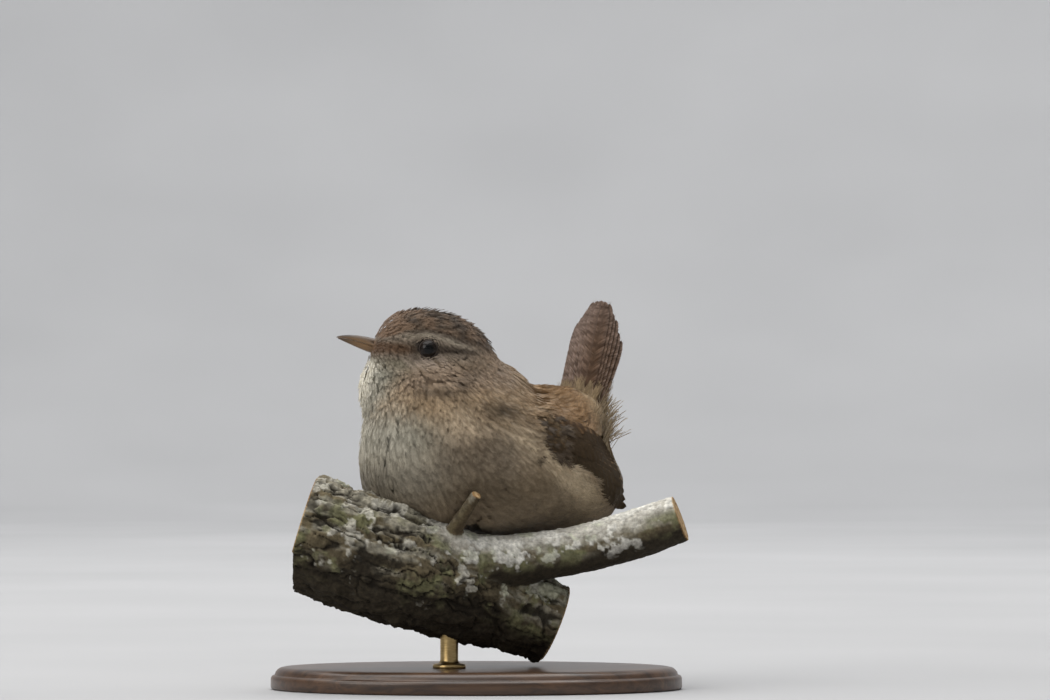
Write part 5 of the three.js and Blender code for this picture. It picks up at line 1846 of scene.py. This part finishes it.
def bark(p):
    """Height of the bark, lichen, sawn ends and the place on its limb for points near the branch."""
    _, info, every = wood_distance(p, (0, 1, 2), blend=1.6, full=True)
    cut = sawn(p).T
    local = np.zeros((len(p), 3))
    ups = np.zeros(len(p))
    for w in range(3):
        m = info[:, 0] == w
        if not m.any():
            continue
        c = WOOD[w]
        k = info[m, 1]
        r = p[m] - c["p"][k]
        s = c["s"][k] + dots(r, c["way"][k])
        r = r - dots(r, c["way"][k])[:, None] * c["way"][k]
        x, y = dots(r, FRAMES[w][0][k]), dots(r, FRAMES[w][1][k])
        local[m] = np.stack([s, x, y], -1)
        ups[m] = unit(r)[:, 2]
    warp = np.stack([fbm(p / 5.0, 3, 11), fbm(p / 5.0, 3, 23), fbm(p / 5.0, 3, 37)], -1)
    q = local + warp * [4.0, 2.0, 2.0]
    limb = ease(1.6, -1.6, every[:, 0] - every[:, 1])
    v1 = fbm(q / [9.0, 3.4, 3.4], 3, 3) * 3.0
    v2 = fbm(q / [3.6, 1.5, 1.5] + 9, 3, 19) * 2.6
    furrow = np.abs(noise(q / [11.0, 2.6, 2.6], 29))
    crack = ease(0.12, 0.0, furrow)
    knobs = fbm(p / [2.2, 1.6, 1.6], 2, 43)
    rough = 0.46 * (terraces(v1) - 0.4) + 0.26 * (terraces(v2, 0.35) - 0.4) - 0.75 * crack + 0.30 * knobs
    rough += 0.16 * fbm(q / [0.95, 0.55, 0.55], 3, 41)
    hair = np.abs(noise(q / [6.0, 0.9, 0.9], 71))
    smooth = 0.24 * fbm(q / [4.5, 1.7, 1.7], 3, 61) + 0.14 * fbm(q / [1.1, 0.6, 0.6], 3, 67) - 0.14 * ease(0.10, 0.0, hair)
    out = mix(smooth, rough, limb)
    out = np.where(info[:, 0] == 2, smooth * 0.5, out)
    # crusts of lichen, thickest on top
    patch = fbm(p / 3.4, 3, 53) + 0.30 * fbm(p / 0.9, 2, 59)
    lichen = ease(0.0, 0.10, patch + 0.42 * ups - 0.20 - 0.20 * limb)
    lumps = cells(p / 0.75, 83)[0]
    out = out + lichen * (0.10 + 0.12 * ease(0.6, 0.2, lumps)) * np.where(info[:, 0] == 2, 0.3, 1.0)
    # calmer where the feet hold on and where it is sawn
    toes = np.full(len(p), 9.0)
    for line in TOE_LINES:
        toes = np.minimum(toes, chain(p, line, np.zeros(len(line)))[0])
    calm = ease(0.7, 2.4, toes)
    out = out * (0.12 + 0.88 * calm) - 0.10 * (1 - calm)
    mine = np.take_along_axis(cut, info[:, :1].astype(int), 1)[:, 0]
    face = ease(-0.30, -0.12, mine)
    out = np.clip(out, -1.5, 1.15) * (1 - face) * (1 - 0.35 * ease(-1.5, -0.3, mine))
    return out, lichen, crack * limb, face, local, ups, info[:, 0], limb


def coarse_wood(p):
    _, _, every = wood_distance(p, (0, 1, 2), full=True)
    every = np.maximum(every, sawn(p).T)
    return join(join(every[:, 0], every[:, 1], 1.6), every[:, 2], 1.0)


def make_perch():
    h = 0.30
    F, low = field_on_grid(coarse_wood, [-43.5, -32.5, 6.0], [44.5, 6.0, 50.5], h, band=0.9, coarse=4)
    V, Q = surface_nets(F, low, h)
    Q = outward(V - np.array([0, -14, 28.0]), Q)
    out, lichen, crack, face, local, ups, which, limb = bark(V)
    e = 0.3
    g = unit(np.stack([coarse_wood(V + np.eye(3)[k] * e) - coarse_wood(V - np.eye(3)[k] * e) for k in range(3)], -1))
    W = V + g * out[:, None]
    # the sawn faces stay flat
    over = sawn(W)
    for w, i, sgn in ENDS:
        c = WOOD[w]
        d = dots(W - c["p"][i], c["way"][i] * sgn)
        m = (which == w) & (d > -0.15) & (face > 0.5)
        W[m] -= (d[m])[:, None] * (c["way"][i] * sgn)
    nz = g[:, 2]
    brown = tone(98, 88, 68, 1.0)
    dark = tone(38, 33, 26, 1.0)
    green = tone(104, 104, 74, 1.05)
    pale = mixc(spread_of(tone(202, 199, 190, 1.0), V), spread_of(tone(182, 178, 166, 1.0), V), limb)
    grey = tone(142, 137, 122, 1.0)
    # under: painted shade for the branch's underside
    under = tone(50, 44, 34, 1.0)
    big = fbm(V / 6.0, 3, 101)
    mid = fbm(V / 1.9, 3, 103)
    fine = fbm(V / 0.55, 3, 107)
    flake = fbm(local / [5.0, 1.6, 1.6], 3, 109)
    # painted shade: the branch turns dark brown on its underside
    c = mixc(spread_of(brown, V), spread_of(under, V), ease(0.10, -0.50, nz + 0.2 * big))
    c = mixc(c, spread_of(grey, V), ease(-0.15, 0.35, flake + 0.35 * nz - 0.05) * 0.85 * ease(-0.5, 0.1, nz))
    # painted light: the top of the bough is paler than its sides
    c = mixc(c, spread_of(tone(186, 182, 172, 1.0), V), (1 - limb) * (which != 2) * ease(0.05, 0.65, nz + 0.35 * mid) * 0.85)
    c = mixc(c, spread_of(green, V), 0.75 * ease(0.0, 0.35, big + 0.5 * mid) * ease(-0.7, -0.1, nz) * ease(mix(0.65, 0.95, limb), mix(0.25, 0.55, limb), nz))
    c = c * (1 + 0.30 * mid[:, None])
    crust = lichen * mix(1.0, 0.80, limb) * (0.72 + 0.28 * ease(-0.3, 0.3, fine)) * ease(-0.75, -0.1, nz)
    c = mixc(c, pale * (1 + 0.18 * mid[:, None]), crust)
    c = mixc(c, spread_of(tone(150, 154, 118, 1.0), V), 0.5 * crust * ease(0.1, 0.5, noise(V / 4.0, 113)))
    # painted shade: darker where the bark sinks, in the furrows and cracks
    c = mixc(c, spread_of(dark, V), np.clip(0.85 * ease(-0.15, -0.75, out) + 0.8 * crack, 0, 0.92))
    c = mixc(c, spread_of(tone(82, 70, 52, 1.0), V) * (1 + 0.3 * mid[:, None]), (which == 2) * 0.8)
    c = c * (1 + 0.22 * fine[:, None])
    rings = np.hypot(local[:, 1] + 0.6, local[:, 2] - 0.4)
    wood = mixc(spread_of(tone(178, 150, 110, 1.0), V), spread_of(tone(140, 108, 70, 1.0), V), ease(-0.1, 0.9, np.sin(rings * 4.6 + 0.9 * noise(V / 4, 5))))
    turned_way = np.arctan2(local[:, 2], local[:, 1])
    wood = wood * (1 - 0.35 * ease(0.07, 0.0, np.abs(noise(np.stack([turned_way * 2.2, rings * 0.15, rings * 0], -1), 7))) * ease(1.0, 4.0, rings))[:, None]
    wood = wood * (1 + 0.10 * fine[:, None])
    c = mixc(c, wood, ease(0.35, 0.9, face))
    ob = mesh_object("bark_perch", W, Q, c, smooth=True, material=M_BARK)
    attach(ob, "root")
    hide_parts("perch")
    print("PERCH", len(Q) * 2, flush=True)


make_perch()


# ---- the stand -------------------------------------------------------------------------------------
def wood_material():
    m, nt, b = material("stand_wood")
    where = node(nt, "ShaderNodeTexCoord")
    mp = node(nt, "ShaderNodeMapping")
    mp.inputs["Scale"].default_value = (0.09, 1.0, 1.0)
    link(nt, where.outputs["Object"], mp.inputs[0])
    grain = node(nt, "ShaderNodeTexNoise", Scale=420.0, Detail=5.0, Roughness=0.6, Distortion=0.6)
    link(nt, mp.outputs[0], grain.inputs["Vector"])
    ramp = node(nt, "ShaderNodeValToRGB")
    ramp.color_ramp.elements[0].position, ramp.color_ramp.elements[0].color = 0.32, (0.030, 0.015, 0.008, 1)
    ramp.color_ramp.elements[1].position, ramp.color_ramp.elements[1].color = 0.70, (0.115, 0.058, 0.028, 1)
    link(nt, grain.outputs["Fac"], ramp.inputs[0])
    link(nt, ramp.outputs[0], b.inputs["Base Color"])
    bp = node(nt, "ShaderNodeBump", Strength=0.12, Distance=0.0001)
    link(nt, grain.outputs["Fac"], bp.inputs["Height"])
    link(nt, bp.outputs[0], b.inputs["Normal"])
    b.inputs["Roughness"].default_value = 0.38
    b.inputs["Coat Weight"].default_value = 0.35
    b.inputs["Coat Roughness"].default_value = 0.22
    return m


def brass_material():
    m, nt, b = material("stand_brass")
    where = node(nt, "ShaderNodeTexCoord")
    mp = node(nt, "ShaderNodeMapping")
    mp.inputs["Scale"].default_value = (1.0, 1.0, 6.0)
    link(nt, where.outputs["Object"], mp.inputs[0])
    tex = node(nt, "ShaderNodeTexNoise", Scale=700.0, Detail=3.0)
    link(nt, mp.outputs[0], tex.inputs["Vector"])
    ramp = node(nt, "ShaderNodeValToRGB")
    ramp.color_ramp.elements[0].position, ramp.color_ramp.elements[0].color = 0.3, (0.40, 0.27, 0.11, 1)
    ramp.color_ramp.elements[1].position, ramp.color_ramp.elements[1].color = 0.7, (0.60, 0.44, 0.21, 1)
    link(nt, tex.outputs["Fac"], ramp.inputs[0])
    link(nt, ramp.outputs[0], b.inputs["Base Color"])
    rr = node(nt, "ShaderNodeMapRange")
    rr.inputs["To Min"].default_value = 0.24
    rr.inputs["To Max"].default_value = 0.42
    link(nt, tex.outputs["Fac"], rr.inputs["Value"])
    link(nt, rr.outputs[0], b.inputs["Roughness"])
    b.inputs["Metallic"].default_value = 1.0
    return m


def turned(profile, outline, n):
    """Rings of an outline, each inset and at its height, closed at the top and the bottom."""
    a = np.linspace(0, 2 * math.pi, n, endpoint=False)
    V = [np.stack([(outline[0] - e) * np.cos(a), (outline[1] - e) * np.sin(a), np.full(n, z)], -1) for e, z in profile]
    V = np.vstack(V)
    F = []
    for i in range(len(profile) - 1):
        for k in range(n):
            p, q = i * n + k, i * n + (k + 1) % n
            F += [[p, q, q + n], [p, q + n, p + n]]
    low, high = len(V), len(V) + 1
    V = np.vstack([V, [[0, 0, profile[0][1]], [0, 0, profile[-1][1]]]])
    last = (len(profile) - 1) * n
    for k in range(n):
        F += [[low, (k + 1) % n, k], [high, last + k, last + (k + 1) % n]]
    return V, outward(V - V.mean(0), np.array(F))


BASE_PROFILE = [(1.4, 0.0), (0.5, 0.05), (0.15, 0.25), (0.0, 0.6), (0.0, 2.3), (0.08, 2.7), (0.35, 3.05), (0.75, 3.2), (0.85, 3.25), (0.95, 3.4), (1.1, 3.9), (1.5, 4.4), (2.1, 4.78), (2.9, 4.96), (3.4, 5.0), (12.0, 5.0), (22.0, 5.0)]
V, F = turned(BASE_PROFILE, (46.0, 31.0), 160)
base = mesh_object("base_wood", V - SHIFT, F, smooth=True, material=wood_material())
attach(base, "root")
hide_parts("stand_base")
rod_at = np.array([-9.0, -14.5, 0]) + SHIFT
ROD_PROFILE = [(0.3, 2.6), (0.0, 2.9), (0.0, 4.9), (-1.6, 5.0), (-1.7, 5.15), (-1.7, 5.6), (-1.55, 5.85), (-1.2, 6.0), (-0.5, 6.1), (-0.15, 6.4), (0.0, 6.9), (0.0, 15.0), (0.0, 18.6), (0.3, 18.9)]
V, F = turned(ROD_PROFILE, (2.0, 2.0), 64)
rod = mesh_object("rod_brass", V + [rod_at[0], rod_at[1], 0] - SHIFT, F, smooth=True, material=brass_material())
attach(rod, "root")
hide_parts("stand_rod")


# ---- floor, light and camera -----------------------------------------------------------------------
def stage_material():
    m, nt, b = material("pale_stage")
    where = node(nt, "ShaderNodeTexCoord")
    tex = node(nt, "ShaderNodeTexNoise", Scale=6.0, Detail=2.0)
    link(nt, where.outputs["Object"], tex.inputs["Vector"])
    ramp = node(nt, "ShaderNodeValToRGB")
    ramp.color_ramp.elements[0].position, ramp.color_ramp.elements[0].color = 0.3, (0.42, 0.42, 0.425, 1)
    ramp.color_ramp.elements[1].position, ramp.color_ramp.elements[1].color = 0.7, (0.46, 0.46, 0.465, 1)
    link(nt, tex.outputs["Fac"], ramp.inputs[0])
    link(nt, ramp.outputs[0], b.inputs["Base Color"])
    b.inputs["Roughness"].default_value = 0.9
    b.inputs["Specular IOR Level"].default_value = 0.1
    return m


prof = [(0.02, 0.0), (0.3, 0.0), (0.9, 0.0), (1.5, 0.0)]
prof += [(1.5 + 0.9 * math.sin(a), 0.9 - 0.9 * math.cos(a)) for a in np.linspace(0, math.pi / 2, 15)[1:]]
prof += [(2.4, 1.4), (2.4, 2.4)]
seg = 72
V = np.array([[r * math.cos(2 * math.pi * k / seg), r * math.sin(2 * math.pi * k / seg), z] for r, z in prof for k in range(seg)] + [[0, 0, 0]])
F = []
for i in range(len(prof) - 1):
    for k in range(seg):
        a, b = i * seg + k, i * seg + (k + 1) % seg
        F += [[a, b + seg, b], [a, a + seg, b + seg]]
F += [[k, (k + 1) % seg, len(V) - 1] for k in range(seg)]
floor = mesh_object("stage_sweep", V, np.array(F), smooth=True, material=stage_material(), scaled=False)


def softbox(name, at, target, size, power, colour=(1, 1, 1)):
    light = bpy.data.lights.new(name, "AREA")
    light.shape = "RECTANGLE"
    light.size, light.size_y = size
    light.energy = power
    light.color = colour
    ob = bpy.data.objects.new(name, light)
    bpy.context.scene.collection.objects.link(ob)
    z = unit(np.array(at, float) - np.array(target, float))
    x = unit(np.cross([0, 0, 1.0], z)) if abs(z[2]) < 0.99 else np.array([1.0, 0, 0])
    y = np.cross(z, x)
    from mathutils import Matrix
    ob.matrix_world = Matrix([[x[0], y[0], z[0], at[0]], [x[1], y[1], z[1], at[1]], [x[2], y[2], z[2], at[2]], [0, 0, 0, 1]])
    return ob


softbox("overhead", (-0.15, 0.15, 1.3), (0, 0, 0.06), (1.6, 1.4), 19, (1.0, 0.985, 0.965))
softbox("left_front", (-1.0, -0.9, 0.75), (0, 0, 0.06), (0.9, 0.9), 8.0, (1.0, 0.98, 0.95))
softbox("backdrop_glow", (0.3, 0.9, 1.7), (0.2, 2.4, 0.5), (1.6, 0.6), 18)
world = bpy.data.worlds.new("soft_sky")
bpy.context.scene.world = world
world.use_nodes = True
bg = world.node_tree.nodes["Background"]
bg.inputs[0].default_value = (0.94, 0.97, 1.0, 1)
bg.inputs[1].default_value = 0.75
bpy.context.scene.view_settings.view_transform = "Standard"

cam = bpy.data.cameras.new("photo_view")
cam.lens = 228.8
cam.sensor_width = 36.0
cam.clip_start, cam.clip_end = 0.05, 20
cam_ob = bpy.data.objects.new("photo_view", cam)
cam_ob.location = (0.010865, -1.492, 0.0758)
cam_ob.rotation_euler = (math.pi / 2, 0, 0)
bpy.context.scene.collection.objects.link(cam_ob)
bpy.context.scene.camera = cam_ob
